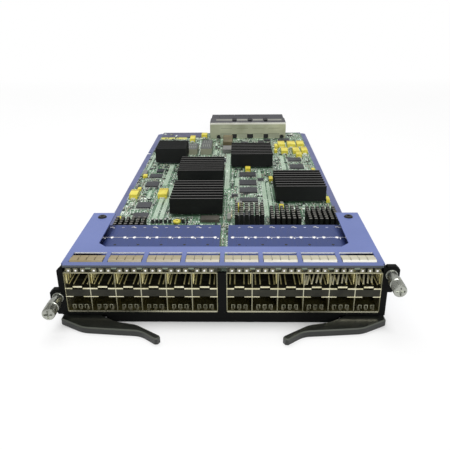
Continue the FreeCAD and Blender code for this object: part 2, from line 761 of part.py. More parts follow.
# Places on the board: low X, high X, low Y, high Y
memory_places = [(-78, -66, 240, 250), (-78, -66, 213, 226), (-77, -65, 159, 171), (-76, -64, 136, 147),
                 (10, 26, 243, 255), (10, 26, 217, 231), (10, 26, 196, 209), (10, 26, 173, 182),
                 (62, 76, 294, 306), (62, 76, 268, 281), (27.5, 33, 230.5, 235.5), (3, 8.5, 187, 191.5)]
tantalum_places = [(-87, -80, 182, 196), (-62, -54, 183, 199), (-50, -44, 380, 396),
                   (-37, -30, 399, 410), (55, 63, 351, 367), (66, 75, 351, 367), (77, 85, 352, 368),
                   (57, 64, 323, 339), (70, 77, 323, 339), (79.5, 86, 324, 340), (72, 78, 309, 320),
                   (16, 21, 257, 266)]
bead_places = [(7, 9.2, 157, 171), (9.8, 12, 157, 171), (44.5, 47, 161, 169), (0.2, 3, 131, 143),
               (-86, -84, 209, 217), (-86, -82, 247, 259)]


def end_block(x0, x1):
    """Guide block between a module and one end of the shield."""
    x0, x1, back = x0 + end_gap, x1 - end_gap, backplane_front + backplane_length
    top = board_top + backplane_height
    inside = box(x0, x1, backplane_front + shell_sheet + end_gap, board_back, board_top,
                 top - shell_sheet - end_gap)
    return inside.fuse(box(x0, x1, board_back, back, board_top, top))


power_module_places = [(-49, -37, 323, 347, 7.0), (-33.3, -21, 323, 360, 7.4)]
inductor_place = (-9, 2, 350, 381, 8.0)
controller_place = (-9, 2, 328, 344, 5.0)
indicator_driver_place = (-21, -6, 129, 137, 3.0)
sink_places = {"front_left": (-46.3, 141.7), "rear_left": (-47.5, 216.8),
               "rear_right": (1.5, 271.3), "front_right": (41.0, 171.0)}
power_sink_place = (-78.0, 287.0)
pin_sink_places = [(6.4, 109.0), (33.2, 102.0), (60.5, 101.0), (-81.0, 80.0)]


def board_place(y):
    """A place along the board, moved in step with the board's length."""
    return board_front + (y - board_front) * board_length / layout_length


def placed(x0, x1, y0, y1, *rest):
    start = board_place(y0)
    return (x0, x1, start, start + y1 - y0, *rest)


def save_board_parts():
    chips = [sink_with_chip("heat_sink_" + name, x, board_place(y)) for name, (x, y) in sink_places.items()]
    x, y = power_sink_place[0], board_place(power_sink_place[1])
    lift = chip_height
    save("heat_sink_power", moved(comb(power_sink_width, power_sink_length, power_sink_height - lift,
                                       sink_base, power_sink_fins, fin_sheet), x, y, board_top + lift))
    chips.append(block(x + chip_inset, x + power_sink_width - chip_inset, y + chip_inset,
                       y + power_sink_length - chip_inset, lift))
    pins, small = [], []
    for px, py in pin_sink_places:
        py = board_place(py)
        pins.append(moved(pin_sink(), px, py, board_top + small_chip_height))
        small.append(block(px + chip_inset, px + pin_sink_width - chip_inset, py + chip_inset,
                           py + pin_sink_length - chip_inset, small_chip_height))
    group("pin_heat_sinks", pins)
    group("processor_chips", chips)
    group("transceiver_chips", small)
    group("memory_chips", [block(*placed(*p), memory_height) for p in memory_places])
    group("tantalum_capacitors", [block(*placed(*p), tantalum_height) for p in tantalum_places])
    group("chip_capacitors", [block(*placed(*p), capacitor_height) for p in bead_places])
    group("power_modules", [chip(*placed(*p)) for p in power_module_places])
    save("power_inductor", chip(*placed(*inductor_place)))
    save("power_controller", chip(*placed(*controller_place)))
    save("indicator_driver", chip(*placed(*indicator_driver_place)))
    save("backplane_shell", backplane_shell())
    ends = [end_block(backplane_left + shell_sheet, first_notch),
            end_block(last_notch, backplane_right - shell_sheet)]
    group("backplane_modules", [backplane_module(i) for i in range(module_count)] + ends)


# ---- the whole card ---------------------------------------------------------------------------------------

save("tray", tray())
save("main_board", board())
group("board_standoffs", [standoff(s * x, y) for x, y in board_screw_places + [board_rest_place]
                          for s in (-1, 1)])
group("board_screws", [board_screw(s * x, y) for x, y in board_screw_places for s in (-1, 1)])
save_cage("right", False)
save_cage("left", True)
save("front_cover", cover())
save("cover_posts", both_sides(cover_post()))
save("cover_screws", both_sides(cover_screw()))
group("grounding_strips", [grounding_strip(i) for i in range(window_count)])
save("faceplate", faceplate())
group("faceplate_screws", [boss_screw(s * boss_x) for s in (-1, 1)])
save_captive_screws()
save("right_lever", lever())
save("left_lever", mirrored(lever()))
save("lever_pins", both_sides(lever_pin()))
save_board_parts()
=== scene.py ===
import math
import random

import bmesh
import bpy
from mathutils import Matrix, Vector, noise


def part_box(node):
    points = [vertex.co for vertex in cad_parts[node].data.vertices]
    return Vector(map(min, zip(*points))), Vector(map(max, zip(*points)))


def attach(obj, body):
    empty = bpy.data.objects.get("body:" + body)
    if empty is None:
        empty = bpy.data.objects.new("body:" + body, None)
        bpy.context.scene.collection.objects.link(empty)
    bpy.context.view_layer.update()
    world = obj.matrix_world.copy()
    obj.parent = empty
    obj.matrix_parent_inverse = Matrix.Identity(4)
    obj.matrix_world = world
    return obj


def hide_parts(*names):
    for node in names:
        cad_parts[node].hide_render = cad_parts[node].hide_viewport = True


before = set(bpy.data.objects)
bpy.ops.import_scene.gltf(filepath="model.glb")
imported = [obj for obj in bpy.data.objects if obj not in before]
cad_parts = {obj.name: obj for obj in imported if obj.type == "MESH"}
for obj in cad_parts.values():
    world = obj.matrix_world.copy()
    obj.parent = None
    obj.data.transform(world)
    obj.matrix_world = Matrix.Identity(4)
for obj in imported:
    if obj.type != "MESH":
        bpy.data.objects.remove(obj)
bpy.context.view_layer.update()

mm = 0.001

# ---- Studio -----------------------------------------------------------------------------------
# A pale sweep with one broad lamp overhead, one at the front and a dim sky. The card lies flat on
# it, as on a bench.


def screen_colour(red, green, blue):
    """A colour as a screen shows it, 0 to 255, in the linear values that shaders take."""
    linear = [c / 3294.6 if c < 11 else ((c / 255 + 0.055) / 1.055) ** 2.4 for c in (red, green, blue)]
    return (*linear, 1.0)


def give(tree, socket, value):
    """Links a socket to another node's output, or sets it to a plain value."""
    if isinstance(value, bpy.types.NodeSocket):
        tree.links.new(value, socket)
    else:
        socket.default_value = value


def add(tree, kind, settings=None, **inputs):
    """A node in a tree, with its settings, and the values or links of its inputs."""
    made = tree.nodes.new(kind)
    for key, value in (settings or {}).items():
        setattr(made, key, value)
    for key, value in inputs.items():
        give(tree, made.inputs[key.replace("_", " ")], value)
    return made


def number(tree, operation, *values):
    """A Math node's result; each value is a number or another node's output."""
    made = add(tree, "ShaderNodeMath", {"operation": operation})
    for socket, value in zip(made.inputs, values):
        give(tree, socket, value)
    return made.outputs[0]


def product(tree, first, *others):
    """The product of several masks or numbers."""
    for other in others:
        first = number(tree, "MULTIPLY", first, other)
    return first


def mix_colour(tree, factor, dark, light):
    """The colour between two others; each is a screen colour or another node's output."""
    made = add(tree, "ShaderNodeMix", {"data_type": "RGBA"})
    give(tree, made.inputs[0], factor)
    for socket, colour in ((made.inputs[6], dark), (made.inputs[7], light)):
        give(tree, socket, screen_colour(*colour) if isinstance(colour, tuple) else colour)
    return made.outputs[2]


def blank_material(name):
    """A material with its Principled shader, ready for a finish."""
    material = bpy.data.materials.new(name)
    material.use_nodes = True
    return material, material.node_tree, material.node_tree.nodes["Principled BSDF"]


def put(name, data):
    """A new object in the scene."""
    made = bpy.data.objects.new(name, data)
    bpy.context.scene.collection.objects.link(made)
    return made


def keep(name, mesh, material=None, smooth=False):
    """Ends a mesh that was built corner by corner and puts it in the scene."""
    for face in mesh.faces:
        face.smooth = smooth
    data = bpy.data.meshes.new(name)
    mesh.to_mesh(data)
    mesh.free()
    if material:
        data.materials.append(material)
    return put(name, data)


def block_mesh(name, low, high, material=None):
    """A box as a mesh object, between two corners."""
    mesh = bmesh.new()
    bmesh.ops.create_cube(mesh, size=1.0)
    low, high = Vector(low), Vector(high)
    for corner in mesh.verts:
        corner.co = Vector((low[i] + (corner.co[i] + 0.5) * (high[i] - low[i]) for i in range(3)))
    return keep(name, mesh, material)


floor_material, tree, shader = blank_material("studio_floor")
place = add(tree, "ShaderNodeTexCoord").outputs["Object"]
cloud = add(tree, "ShaderNodeTexNoise", Vector=place, Scale=3.0, Detail=3.0).outputs["Fac"]
tree.links.new(mix_colour(tree, cloud, (246, 246, 246), (250, 250, 250)), shader.inputs["Base Color"])
shader.inputs["Roughness"].default_value = 0.9
shader.inputs["Specular IOR Level"].default_value = 0.1

# The camera sees the floor as white, apart from the area under the card, where the shade stays.
# That area is given by its middle and half its length along each axis.
shaded_area = (("X", 0.0, 85 * mm), ("Y", 220 * mm, 220 * mm))
axes = add(tree, "ShaderNodeSeparateXYZ", Vector=place).outputs
beyond = []
for axis, middle, half in shaded_area:
    from_middle = number(tree, "ABSOLUTE", number(tree, "SUBTRACT", axes[axis], middle))
    beyond.append(number(tree, "SUBTRACT", from_middle, half))
far_off = number(tree, "MAXIMUM", *beyond)
near = add(tree, "ShaderNodeMapRange", Value=far_off, From_Max=12 * mm, To_Max=0.7)
far = add(tree, "ShaderNodeMapRange", Value=far_off, From_Min=0.1, From_Max=0.5, To_Max=0.3)
whiteness = number(tree, "ADD", near.outputs["Result"], far.outputs["Result"])
camera_ray = add(tree, "ShaderNodeLightPath").outputs["Is Camera Ray"]
glow = add(tree, "ShaderNodeEmission", Color=(1, 1, 1, 1), Strength=1.0)
seen = add(tree, "ShaderNodeMixShader", Fac=product(tree, camera_ray, whiteness))
tree.links.new(shader.outputs[0], seen.inputs[1])
tree.links.new(glow.outputs[0], seen.inputs[2])
tree.links.new(seen.outputs[0], tree.nodes["Material Output"].inputs["Surface"])
block_mesh("studio_floor", (-6, -6, -0.02), (6, 9, -0.0002), floor_material)

sky_light, sky_seen, sky_in_gloss = 0.42, 1.0, 0.45
world = bpy.data.worlds.new("studio_sky")
bpy.context.scene.world = world
world.use_nodes = True
sky = world.node_tree
ray = add(sky, "ShaderNodeLightPath").outputs
sharp = number(sky, "MAXIMUM", ray["Is Camera Ray"], ray["Is Transmission Ray"])
sharp = number(sky, "MAXIMUM", sharp, product(sky, ray["Is Glossy Ray"], sky_in_gloss))
strength = number(sky, "ADD", sky_light, product(sky, sharp, sky_seen - sky_light))
sky.links.new(strength, sky.nodes["Background"].inputs["Strength"])
sky.nodes["Background"].inputs["Color"].default_value = (1, 1, 1, 1)


def lamp(name, place, aim, size, watts):
    """A soft square lamp that faces a point."""
    data = bpy.data.lights.new(name, "AREA")
    data.size, data.energy = size, watts
    made = put(name, data)
    made.location = place
    made.rotation_euler = (Vector(aim) - Vector(place)).to_track_quat("-Z", "Y").to_euler()


lamp("overhead_lamp", (-0.15, 0.35, 1.1), (0.0, 0.15, 0.0), 0.9, 9.0)
lamp("front_lamp", (0.25, -1.0, 0.55), (0.0, 0.0, 0.02), 0.5, 7.0)

view_side, view_distance, view_height = 9.42 * mm, -261.65 * mm, 172.75 * mm
tilt_down, turn_left, roll = 0.4058, 0.028, -0.0121
camera = put("camera", bpy.data.cameras.new("camera"))
camera.data.lens, camera.data.sensor_width = 43.2, 36.0
camera.data.clip_start, camera.data.clip_end = 0.01, 30
camera.matrix_world = (Matrix.Translation((view_side, view_distance, view_height))
                       @ Matrix.Rotation(turn_left, 4, "Z")
                       @ Matrix.Rotation(math.pi / 2 - tilt_down, 4, "X")
                       @ Matrix.Rotation(roll, 4, "Z"))
bpy.context.scene.camera = camera
bpy.context.scene.view_settings.view_transform = "Standard"

# ---- Tray -------------------------------------------------------------------------------------
# One folded sheet of zinc-plated steel with a blue-violet passivation, which clouds unevenly. Its
# flanges run in the guides of the chassis, so they carry fine scuffs along the card.


def uneven_group():
    """Cloudy and fine unevenness that all finishes share, with its own scales and stretch."""
    group = bpy.data.node_groups.new("uneven", "ShaderNodeTree")
    for label, kind, value in (("Cloud Scale", "Float", 40.0), ("Grain Scale", "Float", 900.0),
                               ("Stretch", "Vector", (1, 1, 1))):
        socket = group.interface.new_socket(label, in_out="INPUT", socket_type="NodeSocket" + kind)
        socket.default_value = value
    for label in ("Cloud", "Grain", "Upward"):
        group.interface.new_socket(label, in_out="OUTPUT", socket_type="NodeSocketFloat")
    given, result = add(group, "NodeGroupInput"), add(group, "NodeGroupOutput")
    place = add(group, "ShaderNodeTexCoord").outputs["Object"]
    drawn = add(group, "ShaderNodeVectorMath", {"operation": "MULTIPLY"})
    group.links.new(place, drawn.inputs[0])
    group.links.new(given.outputs["Stretch"], drawn.inputs[1])
    cloud = add(group, "ShaderNodeTexNoise", Vector=place, Scale=given.outputs["Cloud Scale"], Detail=4.0)
    grain = add(group, "ShaderNodeTexNoise", Vector=drawn.outputs[0],
                Scale=given.outputs["Grain Scale"], Detail=3.0)
    normal = add(group, "ShaderNodeNewGeometry").outputs["Normal"]
    facing = add(group, "ShaderNodeSeparateXYZ", Vector=normal)
    group.links.new(cloud.outputs["Fac"], result.inputs["Cloud"])
    group.links.new(grain.outputs["Fac"], result.inputs["Grain"])
    group.links.new(facing.outputs["Z"], result.inputs["Upward"])
    return group


uneven = uneven_group()


def finish(name, dark, light, rough, metallic=0.0, specular=0.5, cloud=40.0, grain=900.0,
           stretch=(1, 1, 1), bump=0.1):
    """A material whose colour drifts between two, with a grain in its gloss and relief."""
    material, tree, shader = blank_material(name)
    noise_node = add(tree, "ShaderNodeGroup", {"node_tree": uneven},
                     Cloud_Scale=cloud, Grain_Scale=grain, Stretch=stretch)
    spread = add(tree, "ShaderNodeMapRange", Value=noise_node.outputs["Cloud"], From_Min=0.3, From_Max=0.7)
    tree.links.new(mix_colour(tree, spread.outputs["Result"], dark, light), shader.inputs["Base Color"])
    gloss = add(tree, "ShaderNodeMapRange", Value=noise_node.outputs["Grain"],
                From_Min=0.25, From_Max=0.75, To_Min=rough[0], To_Max=rough[1])
    tree.links.new(gloss.outputs["Result"], shader.inputs["Roughness"])
    relief = add(tree, "ShaderNodeBump", Height=noise_node.outputs["Grain"], Strength=bump,
                 Distance=0.2 * mm)
    tree.links.new(relief.outputs["Normal"], shader.inputs["Normal"])
    shader.inputs["Metallic"].default_value = metallic
    shader.inputs["Specular IOR Level"].default_value = specular
    return material


def dress(material, *names):
    """Gives CAD nodes their finish."""
    for name in names:
        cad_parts[name].data.materials.clear()
        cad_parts[name].data.materials.append(material)


passivated = finish("passivated_tray", (80, 88, 134), (112, 118, 160), (0.35, 0.55), metallic=0.35,
                    cloud=25.0, grain=500.0, stretch=(1, 0.05, 1), bump=0.08)
dress(passivated, "tray")

# ---- Circuit board ----------------------------------------------------------------------------
# A multilayer board under green solder mask, in which etched tracks and vias show as paler lines
# and dots. Bundles of plain tracks run along the card between its chips.

board_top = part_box("main_board")[1].z


def tracks_along(tree, along, spacing, zone_test, zone, limit):
    """Fine parallel tracks, 0 or 1, at a spacing along one axis, only in some zones of the board."""
    phase = number(tree, "FRACT", number(tree, "DIVIDE", along, spacing))
    return product(tree, number(tree, "LESS_THAN", phase, 0.42), number(tree, zone_test, zone, limit))


solder_mask, tree, shader = blank_material("solder_mask")
place = add(tree, "ShaderNodeTexCoord").outputs["Object"]
axes = add(tree, "ShaderNodeSeparateXYZ", Vector=place).outputs
zones = add(tree, "ShaderNodeTexVoronoi", {"distance": "CHEBYCHEV"}, Vector=place, Scale=95.0,
            Randomness=0.9)
zone = add(tree, "ShaderNodeSeparateColor", Color=zones.outputs["Color"]).outputs["Red"]
tracks = number(tree, "MAXIMUM", tracks_along(tree, axes["X"], 1.1 * mm, "GREATER_THAN", zone, 0.45),
                tracks_along(tree, axes["Y"], 1.3 * mm, "LESS_THAN", zone, 0.25))
vias = add(tree, "ShaderNodeTexVoronoi", Vector=place, Scale=430.0, Randomness=0.85)
via = number(tree, "LESS_THAN", vias.outputs["Distance"], 0.26)
cloud = add(tree, "ShaderNodeTexNoise", Vector=place, Scale=60.0, Detail=3.0).outputs["Fac"]
copper_pour = add(tree, "ShaderNodeMapRange", Value=cloud, From_Min=0.38, From_Max=0.62).outputs["Result"]
green = mix_colour(tree, copper_pour, (22, 52, 34), (70, 110, 78))
green = mix_colour(tree, product(tree, tracks, 0.75), green, (122, 158, 128))
green = mix_colour(tree, via, green, (206, 222, 204))
tree.links.new(green, shader.inputs["Base Color"])
relief = add(tree, "ShaderNodeBump", Height=number(tree, "MAXIMUM", tracks, via), Strength=0.35,
             Distance=0.05 * mm)
tree.links.new(relief.outputs["Normal"], shader.inputs["Normal"])
shader.inputs["Roughness"].default_value = 0.38
dress(solder_mask, "main_board")


def islands(*names):
    """The lowest and highest corner of each separate solid in some CAD nodes."""
    boxes = []
    for name in names:
        mesh = bmesh.new()
        mesh.from_mesh(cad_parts[name].data)
        bmesh.ops.remove_doubles(mesh, verts=mesh.verts, dist=1e-6)
        left, solids = set(mesh.verts), []
        while left:
            found, waiting = [], [left.pop()]
            while waiting:
                corner = waiting.pop()
                found.append(corner.co.copy())
                for edge in corner.link_edges:
                    other = edge.other_vert(corner)
                    if other in left:
                        left.remove(other)
                        waiting.append(other)
            solids.append((Vector(min(c[i] for c in found) for i in range(3)),
                           Vector(max(c[i] for c in found) for i in range(3))))
        mesh.free()
        boxes += sorted(solids, key=lambda b: (round(b[0].x, 5), round(b[0].y, 5)))
    return boxes


def tree_with(name, sizes):
    """An empty Geometry Nodes tree with points, sizes and a material as its inputs."""
    group = bpy.data.node_groups.new(name, "GeometryNodeTree")
    group.interface.new_socket("Points", in_out="INPUT", socket_type="NodeSocketGeometry")
    group.interface.new_socket("Material", in_out="INPUT", socket_type="NodeSocketMaterial")
    for label, value in sizes.items():
        kind = {tuple: "NodeSocketVector", int: "NodeSocketInt", float: "NodeSocketFloat"}[type(value)]
        group.interface.new_socket(label, in_out="INPUT", socket_type=kind).default_value = value
    group.interface.new_socket("Mesh", in_out="OUTPUT", socket_type="NodeSocketGeometry")
    return group, add(group, "NodeGroupInput"), add(group, "NodeGroupOutput")


def close_tree(group, given, result, shape):
    """Ends a tree: one copy of the shape for each point, turned and stretched as the point says."""
    turn = add(group, "GeometryNodeInputNamedAttribute", {"data_type": "FLOAT"}, Name="turn")
    stretch = add(group, "GeometryNodeInputNamedAttribute", {"data_type": "FLOAT_VECTOR"}, Name="stretch")
    angle = add(group, "ShaderNodeCombineXYZ", Z=turn.outputs["Attribute"])
    copies = add(group, "GeometryNodeInstanceOnPoints", Points=given.outputs["Points"], Instance=shape,
                 Rotation=add(group, "FunctionNodeEulerToRotation", Euler=angle.outputs[0]).outputs[0],
                 Scale=stretch.outputs["Attribute"])
    real = add(group, "GeometryNodeRealizeInstances", Geometry=copies.outputs["Instances"])
    painted = add(group, "GeometryNodeSetMaterial", Geometry=real.outputs["Geometry"],
                  Material=given.outputs["Material"])
    group.links.new(painted.outputs["Geometry"], result.inputs["Mesh"])
    return group


def block_tree():
    """A block for each point, standing on it; without a size it is 1 mm each way."""
    group, given, result = tree_with("blocks", {"Size": (mm, mm, mm)})
    cube = add(group, "GeometryNodeMeshCube", Size=given.outputs["Size"])
    half = add(group, "ShaderNodeVectorMath", {"operation": "MULTIPLY"})
    group.links.new(given.outputs["Size"], half.inputs[0])
    half.inputs[1].default_value = (0, 0, 0.5)
    stood = add(group, "GeometryNodeTransform", Geometry=cube.outputs["Mesh"], Translation=half.outputs[0])
    return close_tree(group, given, result, stood.outputs["Geometry"])


def disc_tree():
    """A short upright cylinder for each point, standing on it."""
    group, given, result = tree_with("discs", {"Radius": mm, "Height": 0.1 * mm, "Sides": 10})
    disc = add(group, "GeometryNodeMeshCylinder", Vertices=given.outputs["Sides"],
               Radius=given.outputs["Radius"], Depth=given.outputs["Height"])
    lift = add(group, "ShaderNodeCombineXYZ", Z=product(group, given.outputs["Height"], 0.5))
    stood = add(group, "GeometryNodeTransform", Geometry=disc.outputs["Mesh"], Translation=lift.outputs[0])
    return close_tree(group, given, result, stood.outputs["Geometry"])


blocks, discs = block_tree(), disc_tree()


def stamp(name, tree, places, material, slot, body="card", **sizes):
    """Runs a tree over places (x, y, z, turn, stretch) and keeps the result as a plain mesh."""
    points = bpy.data.meshes.new(name)
    points.from_pydata([p[:3] for p in places], [], [])
    turns = points.attributes.new("turn", "FLOAT", "POINT")
    turns.data.foreach_set("value", [p[3] if len(p) > 3 else 0.0 for p in places])
    stretches = points.attributes.new("stretch", "FLOAT_VECTOR", "POINT")
    stretches.data.foreach_set("vector", [v for p in places for v in (p[4] if len(p) > 4 else (1, 1, 1))])
    made = put(name, points)
    modifier = made.modifiers.new("tree", "NODES")
    modifier.node_group = tree
    given = {"material": material, **sizes}
    for socket in tree.interface.items_tree:
        if socket.in_out == "INPUT" and socket.name.lower() in given:
            modifier[socket.identifier] = given[socket.name.lower()]
    graph = bpy.context.evaluated_depsgraph_get()
    solid = bpy.data.meshes.new_from_object(made.evaluated_get(graph))
    made.modifiers.clear()
    made.data = solid
    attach(made, body)
    return made


def middle_of(low, high):
    """The middle of a box, seen from above."""
    return (low.x + high.x) / 2, (low.y + high.y) / 2


finned_sinks = ["heat_sink_front_left", "heat_sink_front_right", "heat_sink_rear_left",
                "heat_sink_rear_right", "heat_sink_power"]
standing = islands("memory_chips", "tantalum_capacitors", "chip_capacitors", "power_modules",
                   "power_inductor", "power_controller", "indicator_driver", "pin_heat_sinks",
                   "processor_chips", *finned_sinks, "backplane_shell", "cover_posts", "board_screws")


def free(x, y, margin):
    """Whether nothing stands near a point of the board."""
    return all(x < low.x - margin or x > high.x + margin or y < low.y - margin or y > high.y + margin
               for low, high in standing)


# Each bundle: X of its first track, number of tracks, and Y where they start and end, in mm.
bundles = [(-59.8, 5, 134, 186), (-54.6, 5, 134, 186), (-55.0, 6, 188, 214), (-62.0, 6, 216, 286),
           (6.2, 5, 214, 240), (-3.6, 6, 206, 326), (30.8, 5, 140, 228), (35.4, 4, 150, 226),
           (54.0, 6, 264, 318), (49.0, 4, 222, 262), (-18.0, 5, 320, 344), (-72.0, 4, 182, 204),
           (-84.5, 3, 264, 330), (86.0, 2, 120, 165), (-12.0, 5, 384, 393), (2.6, 4, 90, 124),
           (-52.0, 6, 86, 120), (-30.0, 5, 86, 126), (28.8, 4, 240, 268)]
track_pitch, track_width, track_height = 0.72, 0.5 * mm, 0.04 * mm
bundle_lines = []
for x, count, start, end in bundles:
    for line in range(count):
        jog = (line % 3) * 1.2
        bundle_lines.append(((x + line * track_pitch) * mm, ((start + end) / 2 + jog) * mm, board_top, 0.0,
                             (1, (end - start) - 2.4, 1)))
pale_track = finish("pale_track", (168, 192, 166), (208, 226, 206), (0.35, 0.5))
stamp("board_tracks", blocks, bundle_lines, pale_track, "circuit_board",
      size=(track_width, mm, track_height))

# ---- Logic chips --------------------------------------------------------------------------------
# Small moulded packages with a row of tinned leads on two sides, soldered flat on the board.
# Those that a larger part would cover are left out.

# Each chip: X and Y of its middle, width and depth, in mm.
logic_chips = [(-66.0, 191.0, 9, 11), (-36.0, 196.0, 9, 12), (-70.0, 262.0, 7, 9), (46.0, 238.0, 9, 8),
               (-20.0, 203.0, 6, 8), (70.0, 232.0, 11, 9), (58.0, 240.0, 6, 6), (-30.0, 372.0, 8, 9),
               (14.0, 330.0, 9, 9), (28.0, 350.0, 12, 12), (44.0, 330.0, 7, 9), (16.0, 372.0, 9, 7),
               (36.0, 376.0, 7, 8), (-60.0, 350.0, 9, 10), (-40.0, 130.0, 5, 4), (-14.0, 96.0, 8, 8),
               (-38.0, 92.0, 7, 7), (66.0, 145.0, 6, 5), (-84.0, 222.0, 5, 9), (64.0, 384.0, 14, 12),
               (44.0, 384.0, 8, 7), (-72.0, 340.0, 9, 7), (14.0, 142.0, 9, 8), (-6.0, 300.0, 3, 9)]
chip_height, chip_gap, chip_lead_pitch = 1.2, 0.2 * mm, 1.27 * mm


def footprint(x, y, width, depth):
    """The low and high corner of a part on the board, from its middle and its size in mm."""
    return (Vector((x - width / 2, y - depth / 2, 0)) * mm, Vector((x + width / 2, y + depth / 2, 0)) * mm)


def has_room(low, high):
    """Whether a chip's middle and corners are free, and it is off the bracket at the rear left."""
    corners = [(x, y) for x in (low.x, high.x) for y in (low.y, high.y)]
    on_bracket = low.x < -36 * mm and high.y > 400 * mm
    return (free(*middle_of(low, high), 0) and all(free(x, y, 0.6 * mm) for x, y in corners)
            and not on_bracket)


placed = [box for box in (footprint(*chip) for chip in logic_chips) if has_room(*box)]
chips, chip_leads = [], []
for low, high in placed:
    x, y = middle_of(low, high)
    chips.append((x, y, board_top + chip_gap, 0.0, (*((high - low) / mm)[:2], chip_height)))
    rows = int((high.y - low.y) / chip_lead_pitch)
    chip_leads += [(edge, y + (k - (rows - 1) / 2) * chip_lead_pitch, board_top)
                   for k in range(rows) for edge in (low.x - 0.3 * mm, high.x + 0.3 * mm)]
chip_resin = finish("chip_resin", (26, 28, 34), (46, 48, 56), (0.45, 0.65), grain=1800.0, bump=0.2)
solder = finish("tinned_solder", (196, 202, 192), (236, 240, 230), (0.3, 0.5), metallic=0.35, grain=1500.0)
stamp("logic_chips", blocks, chips, chip_resin, "black_resin")
stamp("logic_leads", blocks, chip_leads, solder, "turned_steel", size=(1.2 * mm, 0.5 * mm, 0.35 * mm))
standing += [(low - Vector((mm, 0, 0)), high + Vector((mm, 0, 0))) for low, high in placed]

# ---- Small parts on the board -------------------------------------------------------------------
# Chip resistors and capacitors with tinned ends, resistor networks and test pads, placed by machine
# over what the larger parts leave free. Short marks of white ink name them.

field_left, field_front, field_width, field_length = -86.5, 84.0, 174, 334
step_x, step_y = 2.9, 2.3
chance = random.Random(5)
resistors, capacitors, ends, dashes, pads, networks = [], [], [], [], [], []


def kept_clear(x, y):
    """Whether small parts stay away: on track bundles, near large parts and at the rear edge."""
    in_bundle = any(left - 1 < x / mm < left + count * track_pitch + 0.5 and start - 1 < y / mm < end + 1
                    for left, count, start, end in bundles)
    by_connector = y > 394 * mm and -30 * mm < x < 70 * mm
    on_bracket = y > 398 * mm and x < -34 * mm
    return in_bundle or by_connector or on_bracket or not free(x, y, 1.6 * mm)


for row in range(int(field_length / step_y)):
    for column in range(int(field_width / step_x)):
        x = (field_left + column * step_x + chance.uniform(-0.35, 0.35)) * mm
        y = (field_front + row * step_y + chance.uniform(-0.2, 0.2)) * mm
        pick, quarter = chance.random(), chance.random() < 0.5
        if kept_clear(x, y):
            continue
        crowd = noise.noise(Vector((x * 55, y * 55, 3.0)))
        turn = math.pi / 2 if quarter else 0.0
        if pick < 0.34 + crowd * 0.5:
            (resistors if pick < 0.2 else capacitors).append((x, y, board_top, turn))
            reach = 0.85 * mm
            step = (0.0, reach) if quarter else (reach, 0.0)
            ends += [(x + s * step[0], y + s * step[1], board_top, turn) for s in (-1, 1)]
        elif pick < 0.66:
            wide = chance.choice((0.8, 1.2, 2.3))
            dashes.append((x, y, board_top, turn, (wide, chance.choice((1, 1.8, 3.2)), 1)))
        elif pick < 0.85:
            pads.append((x, y, board_top))
        elif pick < 0.95:
            networks.append((x, y, board_top, turn))
resistor_black = finish("resistor_glass", (22, 24, 26), (46, 48, 50), (0.25, 0.45))
capacitor_tan = finish("capacitor_ceramic", (122, 122, 100), (164, 162, 138), (0.4, 0.6))
silk = finish("silkscreen_ink", (206, 222, 206), (238, 246, 236), (0.5, 0.7), bump=0.05)
stamp("chip_resistors", blocks, resistors, resistor_black, "black_resin", size=(1.2 * mm, mm, 0.5 * mm))
stamp("small_capacitors", blocks, capacitors, capacitor_tan, "grey_ceramic", size=(1.2 * mm, mm, 0.8 * mm))
stamp("part_ends", blocks, ends, solder, "turned_steel", size=(0.55 * mm, 1.15 * mm, 0.55 * mm))
stamp("resistor_networks", blocks, networks, resistor_black, "black_resin",
      size=(2.9 * mm, 1.5 * mm, 0.7 * mm))
stamp("silk_marks", blocks, dashes, silk, "circuit_board", size=(1.4 * mm, 0.45 * mm, 0.03 * mm))
stamp("test_pads", discs, pads, solder, "turned_steel", radius=0.5 * mm, height=0.05 * mm, sides=8)

# ---- Silkscreen ---------------------------------------------------------------------------------
# White ink printed on the solder mask: an outline round each large part, and plain bars and
# squares where assembly marks stand.

ink, line, outline_gap = 0.03, 0.3 * mm, 1.7 * mm


def on_board(parts):
    """Places for blocks on the board, each given as X, Y, width, depth and height in mm."""
    return [(x * mm, y * mm, board_top, 0.0, (w, d, h)) for x, y, w, d, h in parts]


# Each bar: X and Y of its middle, width and depth, in mm.
silk_bars = [(x, 183.2, 2.2, 3.4) for x in (-76.6, -73.2, -69.8)]
silk_bars += [(x, 130.4, 1.0, 2.6) for x in range(-34, -20, 2)]
silk_bars += [(-82.4, 169.4, 4.0, 3.0), (-84.9, 163.6, 3.0, 2.4), (-86.4, 150.0, 2.4, 8.0),
              (-82.6, 148.0, 1.4, 7.0), (-80.4, 149.0, 1.4, 7.0), (-77.3, 157.2, 6.0, 1.2),
              (-64.1, 167.5, 0.9, 6.0), (-63.4, 144.0, 1.2, 7.0), (-36.4, 362.0, 1.1, 30.0),
              (26.4, 176.0, 2.0, 4.0), (29.7, 206.8, 1.2, 8.0), (27.6, 192.0, 2.4, 3.0),
              (-66.0, 240.0, 3.0, 3.0), (-80.0, 228.0, 4.0, 2.2), (-74.0, 290.0, 4.0, 2.4),
              (66.0, 296.0, 5.0, 1.4), (82.0, 300.0, 2.6, 5.0), (78.0, 330.0, 3.0, 3.0),
              (-2.0, 262.0, 1.4, 8.0), (12.0, 322.0, 5.0, 2.0), (64.0, 158.0, 5.0, 2.0),
              (46.0, 166.0, 2.0, 5.0), (83.0, 140.0, 1.6, 6.0), (-44.0, 342.0, 2.0, 6.0)]
bars = [(*bar, ink) for bar in silk_bars if free(bar[0] * mm, bar[1] * mm, 1.0 * mm)]
stamp("silk_blocks", blocks, on_board(bars), silk, "circuit_board")

